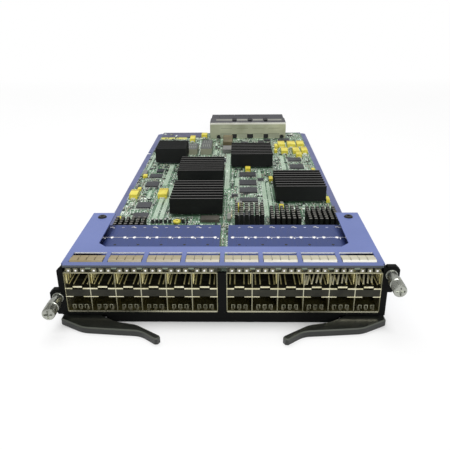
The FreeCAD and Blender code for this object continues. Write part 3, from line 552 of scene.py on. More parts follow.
outlines = []
for low, high in islands("memory_chips", *finned_sinks, "tantalum_capacitors", "power_modules",
                         "power_inductor"):
    width, depth = high.x - low.x + 2 * outline_gap, high.y - low.y + 2 * outline_gap
    x, y = middle_of(low, high)
    for end in (-1, 1):
        outlines.append((x, y + end * depth / 2, board_top, 0.0, (width / line, 1, 1)))
        outlines.append((x + end * width / 2, y, board_top, 0.0, (1, depth / line, 1)))
stamp("part_outlines", blocks, outlines, silk, "circuit_board", size=(line, line, ink * mm))

# ---- Rear bracket -------------------------------------------------------------------------------
# A thin passivated plate screwed over the rear left corner of the board, with a few bright tabs
# and clips on it and in front of it.

dark_passivated = finish("dark_passivated", (64, 66, 92), (96, 98, 122), (0.4, 0.6), metallic=0.35,
                         cloud=90.0, grain=500.0)
bracket_sheet = 0.9
bracket = (-61.75, 412.05, 50.5, 23.1, bracket_sheet)
stamp("rear_bracket", blocks, on_board([bracket]), dark_passivated, "blue_coating")
on_bracket = board_top + bracket_sheet * mm
bracket_tabs = [(-84.0 * mm, 415.0 * mm, on_bracket, 0.3, (2.2, 3.0, 0.5)),
                (-69.0 * mm, 405.0 * mm, on_bracket, -0.2, (1.8, 5.0, 0.6)),
                (-43.0 * mm, 396.0 * mm, board_top, 0.1, (5.0, 2.0, 0.8)),
                (-37.0 * mm, 394.0 * mm, board_top, 0.0, (2.5, 3.0, 0.8))]
stamp("bracket_tabs", blocks, bracket_tabs, silk, "turned_steel")

# ---- Standoffs and board screws ----------------------------------------------------------------
# Hexagon standoffs are pressed into the tray, and pan-head screws hold the board on them. Each
# screw stands on a bare tinned ring and has a cross recess, drawn as a dark cross of painted shade.

turned_steel = finish("turned_nickel", (138, 140, 132), (176, 178, 170), (0.2, 0.36), metallic=0.95,
                      cloud=120.0, grain=2500.0, stretch=(1, 0.2, 1), bump=0.06)
dress(turned_steel, "board_standoffs", "board_screws", "cover_posts")
screw_heads = islands("board_screws")
rings = [(*middle_of(low, high), board_top) for low, high in screw_heads]
stamp("screw_rings", discs, rings, solder, "turned_steel", radius=3.9 * mm, height=0.05 * mm, sides=28)
# Painted shade: a flat dark cross on each head stands for its recess.
cross_recess_shade = [(x, y, screw_heads[0][1].z - 0.02 * mm, turn)
                for x, y, _ in rings for turn in (0.6, 0.6 + math.pi / 2)]
# Near black for painted shade where a recess, hole or opening is drawn flat; it also colours the memory
# chips' first-pin dots.
shadow_black = finish("recess_black", (10, 10, 11), (22, 22, 24), (0.5, 0.8))
stamp("board_screw_crosses", blocks, cross_recess_shade, shadow_black, "black_screw",
      size=(2.8 * mm, 0.6 * mm, 0.05 * mm))

# ---- Port cages -------------------------------------------------------------------------------
# Each cage is stamped from nickel-plated sheet: a shell over two rows of six ports, a floor,
# dividers, and for each column a separator with a latch tab. The sheet keeps a faint roll grain.

pitch, columns = 14.25 * mm, 6
cage_low, cage_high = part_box("right_port_cage")
column_centres = [cage_low.x + pitch * (c + 0.5) for c in range(columns)]
column_edges = [cage_low.x + pitch * c for c in range(1, columns)]
cage_middle, cage_width = (cage_low.x + cage_high.x) / 2, (cage_high.x - cage_low.x) / mm


def inside(material):
    """The node tree of a finish, and its Principled shader."""
    return material.node_tree, material.node_tree.nodes["Principled BSDF"]


def object_axes(tree):
    """X, Y and Z of a place on a surface, in the card's own frame."""
    place = add(tree, "ShaderNodeTexCoord").outputs["Object"]
    return add(tree, "ShaderNodeSeparateXYZ", Vector=place).outputs


def upward(tree):
    """How far a surface faces up: 1 on top, 0 on a side and -1 underneath."""
    return tree.nodes["Group"].outputs["Upward"]


def frontward(tree):
    """A mask that is 1 where a surface faces the front."""
    normal = add(tree, "ShaderNodeNewGeometry").outputs["Normal"]
    return number(tree, "LESS_THAN", add(tree, "ShaderNodeSeparateXYZ", Vector=normal).outputs["Y"], -0.7)


def paint_over(tree, shader, mask, colour):
    """Lays another colour over a finish, where the mask is 1."""
    below = shader.inputs["Base Color"].links[0].from_socket
    tree.links.new(mix_colour(tree, mask, below, colour), shader.inputs["Base Color"])


cage_sheet = finish("cage_nickel", (150, 146, 118), (196, 192, 166), (0.24, 0.42), metallic=0.9, cloud=90.0,
                    grain=700.0, stretch=(1, 0.08, 1), bump=0.12)
tree, shader = inside(cage_sheet)
axes = object_axes(tree)
# Painted shade: the cage's top face behind its front is painted dark blue.
shaded_cage_top = product(tree, number(tree, "GREATER_THAN", upward(tree), 0.9),
                   number(tree, "GREATER_THAN", axes["Z"], cage_high.z - 0.1 * mm),
                   number(tree, "GREATER_THAN", axes["Y"], 10 * mm))
paint_over(tree, shader, shaded_cage_top, (66, 82, 138))
dress(cage_sheet, "left_port_cage", "right_port_cage")
inner_sheet = finish("inner_nickel", (112, 106, 62), (168, 160, 104), (0.22, 0.4), metallic=0.9,
                     cloud=160.0, grain=600.0, stretch=(1, 1, 0.1), bump=0.12)
tree, shader = inside(inner_sheet)
# Painted highlight: forward faces at the very front of the dividers and floors are painted lighter.
at_front = number(tree, "LESS_THAN", object_axes(tree)["Y"], 0.1 * mm)
paint_over(tree, shader, product(tree, frontward(tree), at_front), (186, 184, 160))
dress(inner_sheet, "left_cage_dividers", "right_cage_dividers", "left_cage_floor", "right_cage_floor")
band_sheet = finish("separator_band", (30, 30, 23), (50, 50, 40), (0.4, 0.6), metallic=0.55, cloud=120.0,
                    grain=800.0)
dress(band_sheet, "left_port_separators", "right_port_separators")
black_nylon = finish("connector_nylon", (16, 16, 17), (28, 28, 29), (0.4, 0.6))
dress(black_nylon, "left_port_connectors", "right_port_connectors")

# Painted highlight: near white on the separators' lips and latch tabs, where their edges catch the light.
separator_edge_highlight = finish("separator_edge_highlight", (196, 190, 150), (236, 232, 204), (0.2, 0.4), metallic=0.8, cloud=200.0,
                     grain=1500.0)
divider_edge = finish("divider_edge", (104, 102, 78), (140, 138, 110), (0.3, 0.5), metallic=0.6,
                      cloud=200.0, grain=1500.0)
band_low, band_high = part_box("right_port_separators")
latch_rise = 1.0 * mm
band_top = band_high.z - latch_rise
lips, edges, tabs = [], [], []
for side in (-1, 1):
    for centre in column_centres:
        tabs.append((side * centre, 0.06 * mm, band_high.z - 0.95 * mm, 0.0, (5.2, 0.5, 0.95)))
        for x in (side * centre - 5.0 * mm, side * centre + 5.0 * mm):
            lips.append((x, -0.05 * mm, band_top - 0.9 * mm, 0.0, (4.15, 0.3, 0.8)))
            lips.append((x, -0.05 * mm, band_low.z, 0.0, (4.15, 0.3, 0.5)))
    for edge in [cage_low.x + 0.2 * mm] + column_edges + [cage_high.x - 0.2 * mm]:
        edges += [(side * edge, -0.03 * mm, foot, 0.0, (0.32, 0.2, (head - foot) / mm))
                  for foot, head in ((cage_low.z, band_low.z), (band_top, cage_high.z))]
stamp("separator_lips", blocks, lips, separator_edge_highlight, "nickel_plate")
stamp("latch_tab_edges", blocks, tabs, separator_edge_highlight, "nickel_plate")
stamp("divider_edges", blocks, edges, divider_edge, "nickel_plate")

# ---- Springs in the ports -----------------------------------------------------------------------
# Bent bronze leaves that ground a plug: upright ones on the divider of each upper port, long ones
# on its floor, paler slanted ones in the right cage's outer columns, and framed ones below. The bright
# gold of the leaves in the upper ports is a painted reflection, and the paler slanted ones, in the right
# cage only, are a painted reflection too.

wall_springs, floor_springs, slanted_springs, finger_frames = [], [], [], []
outer_columns, port_floor, foot = 40 * mm, band_high.z, cage_low.z + 1.3 * mm
for side in (-1, 1):
    for centre in column_centres:
        middle, wall = side * centre, side * (centre + pitch / 2 - 0.75 * mm)
        wall_springs += [(wall, (3.0 + 3.4 * k) * mm, port_floor + 0.3 * mm, 0.0, (0.5, 1.3, 8.2))
                         for k in range(4)]
        floor_springs += [(middle + dx * mm, 10.0 * mm, port_floor + 0.12 * mm, 0.0, (0.7, 16.0, 0.12))
                          for dx in (-5.2, -2.6, 2.6, 5.2)]
        if middle > outer_columns:
            slanted_springs += [(middle + dx * mm, (6.0 + 0.8 * k) * mm, port_floor + 0.35 * mm, -0.25,
                                 (0.9, 11.0, 0.2)) for k, dx in enumerate((-5.4, -3.9, -1.2, 1.4, 3.8))]
        for x in (middle - 3.5 * mm, middle, middle + 3.5 * mm):
            finger_frames += [(x - 0.85 * mm, 1.3 * mm, foot, 0.0, (0.24, 0.3, 2.2)),
                              (x + 0.85 * mm, 1.3 * mm, foot, 0.0, (0.24, 0.3, 2.2)),
                              (x, 1.3 * mm, foot + 2.2 * mm, 0.0, (1.94, 0.3, 0.28))]
# Painted reflection: bright gold on the leaves inside the upper ports.
spring_gold_reflection = finish("spring_gold_reflection", (190, 180, 116), (236, 228, 176), (0.25, 0.42), metallic=0.35,
                     cloud=260.0, grain=1400.0)
finger_edge = finish("finger_edge", (112, 114, 92), (176, 176, 152), (0.25, 0.42), metallic=0.4,
                     cloud=400.0)
stamp("wall_springs", blocks, wall_springs, spring_gold_reflection, "spring_bronze")
stamp("floor_springs", blocks, floor_springs, spring_gold_reflection, "spring_bronze")
# Painted reflection: the paler slanted leaves in the right cage.
spring_pale_reflection = finish("spring_pale_reflection", (226, 220, 174), (250, 246, 220), (0.3, 0.45), metallic=0.1,
                     cloud=260.0)
stamp("slanted_springs", blocks, slanted_springs, spring_pale_reflection, "spring_bronze")
stamp("floor_finger_frames", blocks, finger_frames, finger_edge, "spring_bronze")

# ---- Tops of the cages --------------------------------------------------------------------------
# The halves of each cage are spot-welded along a seam. Behind its front edge every column has a vent
# hole and, further back, small clips that lock the dividers. The weld domes, the seam and the clips are
# painted near white as a painted highlight, and each vent hole is a flat dark disc of painted shade.

spot_domes, vents, clips, rails = [], [], [], []
weld_line, vent_line, clip_line = 46.8 * mm, 36.2 * mm, 62.3 * mm
for side in (-1, 1):
    for centre in column_centres:
        spot_domes += [(side * centre + s * 4.1 * mm, weld_line, cage_high.z) for s in (-1, 1)]
        spot_domes.append((side * centre + 6.0 * mm, weld_line - 1.4 * mm, cage_high.z, 0.0,
                           (0.4, 0.5, 0.5)))
        vents.append((side * centre, vent_line, cage_high.z))
        clips.append((side * centre, clip_line, cage_high.z, 0.0, (1.6, 0.35, 0.15)))
    for edge in column_edges:
        clips += [(side * edge - 0.6 * mm, clip_line + 0.5 * mm, cage_high.z, 0.5, (2.2, 0.5, 0.3)),
                  (side * edge + 0.9 * mm, clip_line - 0.5 * mm, cage_high.z, -0.4, (1.8, 0.6, 0.3))]
    rails.append((side * cage_middle, weld_line, cage_high.z, 0.0, (cage_width - 4, 0.35, 0.12)))
# Painted highlight: near white for small raised marks that catch the light.
painted_glint = finish("painted_glint", (214, 212, 212), (244, 242, 240), (0.2, 0.35), metallic=0.4)


def dome_tree():
    """A flattened ball for each point."""
    group, given, result = tree_with("domes", {"Radius": mm, "Flat": (1.0, 1.0, 0.4)})
    ball = add(group, "GeometryNodeMeshUVSphere", Segments=14, Rings=8, Radius=given.outputs["Radius"])
    pressed = add(group, "GeometryNodeTransform", Geometry=ball.outputs["Mesh"],
                  Scale=given.outputs["Flat"])
    return close_tree(group, given, result, pressed.outputs["Geometry"])


domes = dome_tree()
stamp("weld_domes", domes, spot_domes, painted_glint, "nickel_plate", radius=1.2 * mm, flat=(1.0, 1.15, 0.35))
# Painted shade: the vent holes are flat dark discs.
stamp("cage_vents", discs, vents, shadow_black, "nickel_plate", radius=0.9 * mm, height=0.03 * mm, sides=18)
stamp("cage_clips", blocks, clips, painted_glint, "nickel_plate")
stamp("cage_rails", blocks, rails, painted_glint, "nickel_plate")

# ---- Grounding fingers and light pipes ----------------------------------------------------------
# Tin-plated bronze fingers spring up between the cage and the cover, each with a contact dimple
# painted near white as a highlight. A dark sheet behind them is painted shade in the gap, and clear
# light pipes end between the ports.

finger_bronze = finish("finger_bronze", (92, 92, 76), (142, 140, 118), (0.25, 0.45), metallic=0.85,
                       cloud=300.0, grain=1200.0)
dress(finger_bronze, "left_cage_fingers", "right_cage_fingers")
floor_bronze = finish("floor_finger_bronze", (170, 164, 128), (214, 208, 176), (0.25, 0.4), metallic=0.8)
dress(floor_bronze, "left_floor_fingers", "right_floor_fingers")
finger_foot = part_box("right_cage_fingers")[0].z
finger_pitch = 4.0 * mm
dimples, finger_tabs, pipes, backing = [], [], [], []
for side in (-1, 1):
    for centre in column_centres:
        for k in (-1, 0, 1):
            x = side * (centre + k * finger_pitch)
            dimples.append((x, 0.3 * mm, finger_foot + 1.1 * mm))
            finger_tabs.append((x, 0.45 * mm, finger_foot, 0.0, (2.5, 0.3, 2.5)))
    pipes += [(side * edge, 0.9 * mm, cage_high.z + 2.1 * mm) for edge in column_edges]
    backing.append((side * cage_middle, 3.4 * mm, cage_high.z + 0.35 * mm, 0.0,
                    (cage_width - 0.4, 0.3, 3.3)))
# Painted shade: a dark sheet stands in the gap behind the fingers.
finger_gap_shade = finish("finger_gap_shade", (70, 74, 66), (104, 108, 96), (0.3, 0.5), metallic=0.3, cloud=300.0,
                   grain=1500.0)
stamp("finger_backing", blocks, backing, finger_gap_shade, "spring_bronze")
stamp("finger_tabs", blocks, finger_tabs, finger_bronze, "spring_bronze")
# Painted highlight: the dimples are near white.
stamp("finger_dimples", domes, dimples, painted_glint, "spring_bronze", radius=0.66 * mm,
      flat=(1.0, 0.5, 0.95))
pipe_clear = finish("light_pipe", (96, 108, 90), (124, 134, 114), (0.15, 0.3))
stamp("light_pipes", blocks, pipes, pipe_clear, "grey_ceramic", size=(3.0 * mm, 1.6 * mm, 0.9 * mm))

# ---- Front cover ------------------------------------------------------------------------------
# A folded steel sheet over the ports with a satin blue finish. Its front edge is folded down, its
# eight windows show bare metal at the cut, and two black screws hold its arms. The blue is painted
# darker towards the front and on the folded lip as painted shade, and the cut edge behind each
# window is painted near white as a painted highlight.

cover_low, cover_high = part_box("front_cover")
window_back = 16.4 * mm
cover_blue = finish("cover_blue", (94, 109, 166), (108, 122, 180), (0.32, 0.46), cloud=18.0, grain=1400.0,
                    bump=0.05)
tree, shader = inside(cover_blue)
axes, front_face = object_axes(tree), frontward(tree)
# Painted shade: darker towards the front edge.
shaded = add(tree, "ShaderNodeMapRange", Value=axes["Y"], From_Min=17 * mm, From_Max=4 * mm, To_Max=0.6)
paint_over(tree, shader, shaded.outputs["Result"], (78, 92, 140))
# Painted shade: the folded lip's front face is dark grey.
lip = product(tree, front_face, number(tree, "LESS_THAN", axes["Y"], cover_low.y + 0.5 * mm))
paint_over(tree, shader, lip, (62, 67, 72))
# Painted highlight: near white along the cut edge behind each window.
cut_edge_highlight = product(tree, front_face, number(tree, "GREATER_THAN", axes["Z"], cover_high.z - 0.9 * mm),
                   number(tree, "COMPARE", axes["Y"], window_back, 0.3 * mm))
paint_over(tree, shader, cut_edge_highlight, (236, 238, 244))
dress(cover_blue, "front_cover")
black_screw = finish("black_oxide", (20, 20, 22), (44, 44, 48), (0.28, 0.45), metallic=0.6)
dress(black_screw, "cover_screws", "faceplate_screws")
# Painted shade: each screw's socket is a flat dark disc on its head.
socket_depth = 0.045 * mm
sockets = [(*middle_of(low, high), high.z - socket_depth) for low, high in islands("cover_screws")]
stamp("cover_screw_sockets", discs, sockets, shadow_black, "black_screw", radius=1.0 * mm,
      height=socket_depth, sides=6)

# ---- Grounding strips ---------------------------------------------------------------------------
# Bright spring strips that clip under the front edge of each window; four broad fingers arch up
# through it to touch the card above. Their colour runs from darker at the left to lighter at the right
# as a painted reflection, and their rolled front is painted near white as a painted highlight.

window_pitch, pad_pitch, rolled_front = 21.7 * mm, 4.75 * mm, 6.2 * mm
strip_metal = finish("strip_metal", (214, 204, 158), (240, 234, 204), (0.25, 0.4), metallic=0.55,
                     cloud=60.0, grain=1200.0, stretch=(0.1, 1, 1))
tree, shader = inside(strip_metal)
axes = object_axes(tree)
# Painted reflection: the strips run from darker at the left to lighter at the right.
across = add(tree, "ShaderNodeMapRange", Value=axes["X"], From_Min=-80 * mm, From_Max=75 * mm)
across = across.outputs["Result"]
paint_over(tree, shader, 0.85, mix_colour(tree, across, (140, 122, 84), (206, 202, 182)))
# Painted highlight: the rolled front is near white, more so towards the right.
rolled = product(tree, number(tree, "LESS_THAN", axes["Y"], rolled_front), across, 0.8)
paint_over(tree, shader, rolled, (246, 244, 232))
dress(strip_metal, "grounding_strips")
pads_behind = [((w - 3.5) * window_pitch + (k - 1.5) * pad_pitch, 10.2 * mm, cover_high.z - 0.35 * mm, 0.0,
                (4.55, 5.2, 0.2)) for w in range(8) for k in range(4)]
stamp("strip_pads", blocks, pads_behind, strip_metal, "spring_bronze")

# ---- Faceplate ----------------------------------------------------------------------------------
# A die casting with a black powder coat, fine and slightly pebbled. It frames both cages and
# carries an ear for each captive screw.

powder_black = finish("powder_black", (4, 5, 5), (9, 10, 9), (0.55, 0.7), specular=0.1, cloud=50.0,
                      grain=2200.0, bump=0.35)
dress(powder_black, "faceplate")

# ---- Captive screws -----------------------------------------------------------------------------
# Long turned knobs with a fine straight knurl, a groove and a cross recess. A ferrule pressed into
# the ear guides the plain waist, a spring pushes the screw out, and its tip has a metric thread.


def skin(mesh, loops):
    """Faces between each loop of corners and the next."""
    for this, after in zip(loops, loops[1:]):
        for k in range(len(this)):
            mesh.faces.new((this[k - 1], this[k], after[k], after[k - 1]))
    bmesh.ops.recalc_face_normals(mesh, faces=mesh.faces)


def turned(name, profile, centre, material, segments=56):
    """A body of revolution about an axis along Y; the profile lists radius and Y."""
    mesh = bmesh.new()
    turns = [2 * math.pi * k / segments for k in range(segments)]
    loops = [[mesh.verts.new((centre[0] + r * math.cos(a), y, centre[1] + r * math.sin(a))) for a in turns]
             for r, y in profile]
    skin(mesh, loops + loops[:1])
    made = keep(name, mesh, material, smooth=True)
    made.data.set_sharp_from_angle(angle=math.radians(32))
    return made


def knurl_tree():
    """Straight ridges round a knob whose axis lies along Y, one knob for each point."""
    group, given, result = tree_with("knurl", {"Radius": 3.5 * mm, "Length": 5 * mm, "Ridges": 44,
                                               "Ridge": 0.34 * mm})
    ring = add(group, "GeometryNodeMeshCircle", Vertices=given.outputs["Ridges"],
               Radius=given.outputs["Radius"])
    size = add(group, "ShaderNodeCombineXYZ", X=given.outputs["Ridge"], Y=given.outputs["Ridge"],
               Z=given.outputs["Length"])
    ridge = add(group, "GeometryNodeMeshCube", Size=size.outputs[0])
    place = add(group, "GeometryNodeInputPosition").outputs[0]
    place = add(group, "ShaderNodeSeparateXYZ", Vector=place).outputs
    angle = number(group, "ADD", number(group, "ARCTAN2", place["Y"], place["X"]), math.pi / 4)
    spun = add(group, "FunctionNodeEulerToRotation",
               Euler=add(group, "ShaderNodeCombineXYZ", Z=angle).outputs[0])
    ridges = add(group, "GeometryNodeInstanceOnPoints", Points=ring.outputs["Mesh"],
                 Instance=ridge.outputs["Mesh"], Rotation=spun.outputs[0])
    laid = add(group, "GeometryNodeTransform", Geometry=ridges.outputs["Instances"],
               Rotation=(math.pi / 2, 0, 0))
    return close_tree(group, given, result, laid.outputs["Geometry"])


def cut_cross(knob, centre, front, reach, width, depth):
    """Cuts a cross recess into the knob's front face."""
    cutters = [block_mesh("cutter", (centre[0] - a, front - depth, centre[1] - b),
                          (centre[0] + a, front + depth, centre[1] + b))
               for a, b in ((reach, width), (width, reach))]
    for cutter in cutters:
        boolean = knob.modifiers.new("cross", "BOOLEAN")
        boolean.operation, boolean.solver, boolean.object = "DIFFERENCE", "EXACT", cutter
    graph = bpy.context.evaluated_depsgraph_get()
    data = bpy.data.meshes.new_from_object(knob.evaluated_get(graph))
    knob.modifiers.clear()
    knob.data = data
    for cutter in cutters:
        bpy.data.objects.remove(cutter)


def threaded_tip(name, centre, start, length, radius, thread_pitch, depth, material):
    """A helical thread: the radius at each place follows its turn and its way along Y."""
    segments, steps, chamfer = 40, 64, 0.35 * mm
    mesh, rows = bmesh.new(), []
    for k in range(steps + 1):
        y = start + length * k / steps
        row = []
        for i in range(segments):
            phase = ((y - start) / thread_pitch - i / segments) % 1.0
            r = radius - depth * abs(2 * phase - 1) - (chamfer if k == steps else 0)
            a = 2 * math.pi * i / segments
            row.append(mesh.verts.new((centre[0] + r * math.cos(a), y, centre[1] + r * math.sin(a))))
        rows.append(row)
    mesh.faces.new(rows[0])
    mesh.faces.new(list(reversed(rows[-1])))
    skin(mesh, rows)
    return keep(name, mesh, material)


knurls = knurl_tree()
spring_wire = finish("spring_wire", (120, 120, 118), (170, 170, 166), (0.2, 0.35), metallic=0.95)
dress(spring_wire, "left_return_spring", "right_return_spring")
dress(turned_steel, "left_thrust_washer", "right_thrust_washer")
outer, bore, waist, tip_length = 3.55 * mm, 3.1 * mm, 1.6 * mm, 6.0 * mm
groove, crown, axle = outer - 0.5 * mm, outer - 0.1 * mm, 0.0005 * mm
guide, barrel, flange = 1.72 * mm, 2.88 * mm, 3.26 * mm
ferrule_pieces = []
for side, (ferrule_low, ferrule_high) in zip(("left", "right"), islands("screw_ferrules")):
    knob_low, knob_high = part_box(side + "_captive_screw")
    centre = ((knob_low.x + knob_high.x) / 2, (knob_low.z + knob_high.z) / 2)
    front, skirt, tip_start = knob_low.y, knob_low.y + 11.3 * mm, knob_high.y - tip_length
    knob = turned(side + "_screw_knob", [
        (axle, front), (groove, front), (crown, front + 0.4 * mm), (crown, front + 6.3 * mm),
        (groove, front + 6.6 * mm), (groove, front + 7.2 * mm), (outer, front + 7.5 * mm),
        (outer, skirt - 0.3 * mm), (outer - 0.3 * mm, skirt), (bore, skirt), (bore, front + 1.5 * mm),
        (waist, front + 1.5 * mm), (waist, tip_start), (axle, tip_start)], centre, turned_steel)
    cut_cross(knob, centre, front, reach=2.4 * mm, width=0.5 * mm, depth=1.1 * mm)
    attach(knob, side + "_screw_body")
    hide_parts(side + "_captive_screw")
    stamp(side + "_knob_knurl", knurls, [(centre[0], front + 3.45 * mm, centre[1])], turned_steel,
          "turned_steel", body=side + "_screw_body", radius=outer - 0.17 * mm, length=5.4 * mm,
          ridges=44, ridge=0.3 * mm)
    tip = threaded_tip(side + "_screw_thread", centre, tip_start, tip_length, radius=2.0 * mm,
                       thread_pitch=0.7 * mm, depth=0.38 * mm, material=turned_steel)
    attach(tip, side + "_screw_body")
    nose, ear = ferrule_low.y, ferrule_high.y
    ferrule_pieces.append(turned(side + "_screw_ferrule", [
        (guide, nose), (2.6 * mm, nose), (barrel, nose + 0.3 * mm), (barrel, -1.0 * mm),
        (flange - 0.2 * mm, -1.0 * mm), (flange, -0.8 * mm), (flange, 0.0), (barrel, 0.0),
        (barrel, ear), (guide, ear)], centre, turned_steel))
for piece in ferrule_pieces:
    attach(piece, "card")
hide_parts("screw_ferrules")

# ---- Ejector levers -----------------------------------------------------------------------------
# Black glass-filled nylon levers that fold along the foot of the faceplate. Their rounded upper
# edges are painted lighter as a painted highlight. A shoulder rivet holds each one.

lever_nylon = finish("lever_nylon", (12, 14, 12), (24, 27, 23), (0.3, 0.46), cloud=70.0, grain=1600.0,
                     bump=0.18)
tree, shader = inside(lever_nylon)
# Painted highlight: the rounded upper edges, between top and sides, are painted lighter.
off_side = add(tree, "ShaderNodeMapRange", Value=upward(tree), From_Min=0.1, From_Max=0.45)
off_top = add(tree, "ShaderNodeMapRange", Value=upward(tree), From_Min=0.97, From_Max=0.8)
lever_edge_highlight = product(tree, off_side.outputs["Result"], off_top.outputs["Result"], 0.6)
paint_over(tree, shader, lever_edge_highlight, (84, 88, 78))
shader.inputs["Coat Weight"].default_value = 0.15
dress(lever_nylon, "left_lever", "right_lever")
dress(turned_steel, "lever_pins")

# ---- Heat sinks ---------------------------------------------------------------------------------
# Extruded aluminium, anodised black; the tops of the fins and pins are painted paler as a painted
# highlight. The small ones are cross-cut into square pins.

anodised = finish("black_anodised", (7, 9, 9), (14, 17, 16), (0.45, 0.62), metallic=0.25, specular=0.3,
                  cloud=80.0, grain=900.0, stretch=(0.06, 1, 1), bump=0.15)
tree, shader = inside(anodised)
# Painted highlight: the upward faces of the fin tops are painted paler.
fin_top_highlight = product(tree, number(tree, "GREATER_THAN", upward(tree), 0.9),
                  number(tree, "GREATER_THAN", object_axes(tree)["Z"], board_top + 9 * mm))
paint_over(tree, shader, product(tree, fin_top_highlight, 0.8), (96, 94, 92))
dress(anodised, *finned_sinks[:4])
deep_black = finish("deep_black", (7, 9, 9), (16, 19, 18), (0.5, 0.66), metallic=0.2, specular=0.3,
                    cloud=80.0, grain=900.0, stretch=(0.06, 1, 1), bump=0.15)
dress(deep_black, "heat_sink_power")

pins_across, pins_along, pin_width, sink_base = 6, 7, 2.3 * mm, 1.9 * mm
sink_boxes = islands("pin_heat_sinks")
sink_size = sink_boxes[0][1] - sink_boxes[0][0]
step_x, step_y = (sink_size.x - pin_width) / (pins_across - 1), (sink_size.y - pin_width) / (pins_along - 1)
pin_height = sink_size.z - sink_base
sink_bases = [(*middle_of(low, high), low.z) for low, high in sink_boxes]
sink_pins = [(low.x + pin_width / 2 + i * step_x, low.y + pin_width / 2 + j * step_y, low.z + sink_base)
             for low, high in sink_boxes for i in range(pins_across) for j in range(pins_along)]
pins = stamp("pin_sink_pins", blocks, sink_pins, deep_black, "black_anodised",
             size=(pin_width, pin_width, pin_height))
# Painted highlight: a paler plate on each pin's top.
pin_tip_highlight = finish("painted_pin_tip_highlight", (70, 70, 66), (128, 126, 116), (0.35, 0.5), metallic=0.3, cloud=400.0)
stamp("pin_sink_tips", blocks, [(x, y, z + pin_height) for x, y, z in sink_pins], pin_tip_highlight,
      "black_anodised", size=(pin_width - 0.3 * mm, pin_width - 0.3 * mm, 0.02 * mm))
stamp("pin_sink_bases", blocks, sink_bases, deep_black, "black_anodised",
      size=(sink_size.x, sink_size.y, 2.0 * mm))
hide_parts("pin_heat_sinks")

# ---- Power converters ---------------------------------------------------------------------------
# Open converter modules with windings across their tops, beside a ferrite inductor and their
# controller.

module_case = finish("module_case", (60, 65, 64), (92, 95, 92), (0.45, 0.6))
tree, shader = inside(module_case)
paint_over(tree, shader, number(tree, "LESS_THAN", upward(tree), 0.5), (146, 147, 126))
dress(module_case, "power_modules")
grey_ceramic = finish("grey_ceramic", (106, 106, 104), (150, 150, 144), (0.45, 0.6))
dress(grey_ceramic, "chip_capacitors", "power_controller")
ferrite = finish("brown_ferrite", (88, 80, 54), (122, 112, 80), (0.5, 0.7), grain=1500.0)
dress(ferrite, "power_inductor")
windings = []
for low, high in islands("power_modules"):
    width, depth = high.x - low.x, high.y - low.y
    windings += [(low.x + width * x_share, low.y + depth * y_share, high.z, 0.0,
                  (0.7, 0.26 * depth / mm, 0.35))
                 for x_share in (0.24, 0.42, 0.6, 0.78) for y_share in (0.28, 0.72)]
winding_grey = finish("winding_grey", (108, 112, 104), (142, 146, 136), (0.4, 0.55))
stamp("module_windings", blocks, windings, winding_grey, "grey_ceramic")

# ---- Packages on the board ----------------------------------------------------------------------
# Memory, processors and transceivers in black moulded packages. The memory chips have tinned leads on
# all four sides, and the larger ones a dot at their first pin.

black_resin = finish("package_resin", (34, 36, 40), (58, 60, 64), (0.45, 0.65), grain=1800.0, bump=0.2)
dress(black_resin, "memory_chips", "processor_chips", "transceiver_chips")
driver_resin = finish("driver_resin", (52, 50, 44), (80, 76, 66), (0.5, 0.7))
dress(driver_resin, "indicator_driver")

leads, lead_pitch, lead_reach, corner_gap = [], 1.0 * mm, 0.45 * mm, 0.6 * mm
for low, high in islands("memory_chips"):
    for k in range(int((high.y - low.y - 2 * corner_gap) / lead_pitch) + 1):
        y = low.y + corner_gap + k * lead_pitch
        leads += [(x, y, board_top) for x in (low.x - lead_reach, high.x + lead_reach)]
    for k in range(int((high.x - low.x - 2 * corner_gap) / lead_pitch) + 1):
        x = low.x + corner_gap + k * lead_pitch
        leads += [(x, y, board_top, math.pi / 2) for y in (low.y - lead_reach, high.y + lead_reach)]
stamp("memory_leads", blocks, leads, solder, "turned_steel", size=(1.1 * mm, 0.42 * mm, 0.3 * mm))
marks = [(low.x + 1.4 * mm, low.y + 1.4 * mm, high.z) for low, high in islands("memory_chips")
         if high.x - low.x > 8 * mm]
stamp("memory_first_pin_marks", discs, marks, shadow_black, "black_resin", radius=0.5 * mm,
      height=0.02 * mm, sides=14)

# ---- Capacitors, choke and tape -----------------------------------------------------------------
# Yellow tantalum capacitors with a brown polarity band, film and can capacitors, a ring choke and two
# pale parts, soldered on the board. Two strips of yellow tape lie at its rear left.

yellow_resin = finish("tantalum_resin", (206, 190, 50), (236, 224, 92), (0.35, 0.5), cloud=150.0)
dress(yellow_resin, "tantalum_capacitors")
bands, tantalum_ends = [], []
for low, high in islands("tantalum_capacitors"):
    width, depth, x = high.x - low.x, high.y - low.y, middle_of(low, high)[0]
    bands.append((x, high.y - 0.16 * depth, high.z, 0.0, (width / mm, 0.13 * depth / mm, 0.03)))
    tantalum_ends += [(x, y, board_top, 0.0, (0.55 * width / mm, 1.3, 1.2))
                      for y in (low.y - 0.3 * mm, high.y + 0.3 * mm)]
band_brown = finish("tantalum_band", (176, 150, 60), (196, 172, 80), (0.4, 0.5))
stamp("tantalum_bands", blocks, bands, band_brown, "yellow_resin")
stamp("tantalum_ends", blocks, tantalum_ends, solder, "turned_steel")

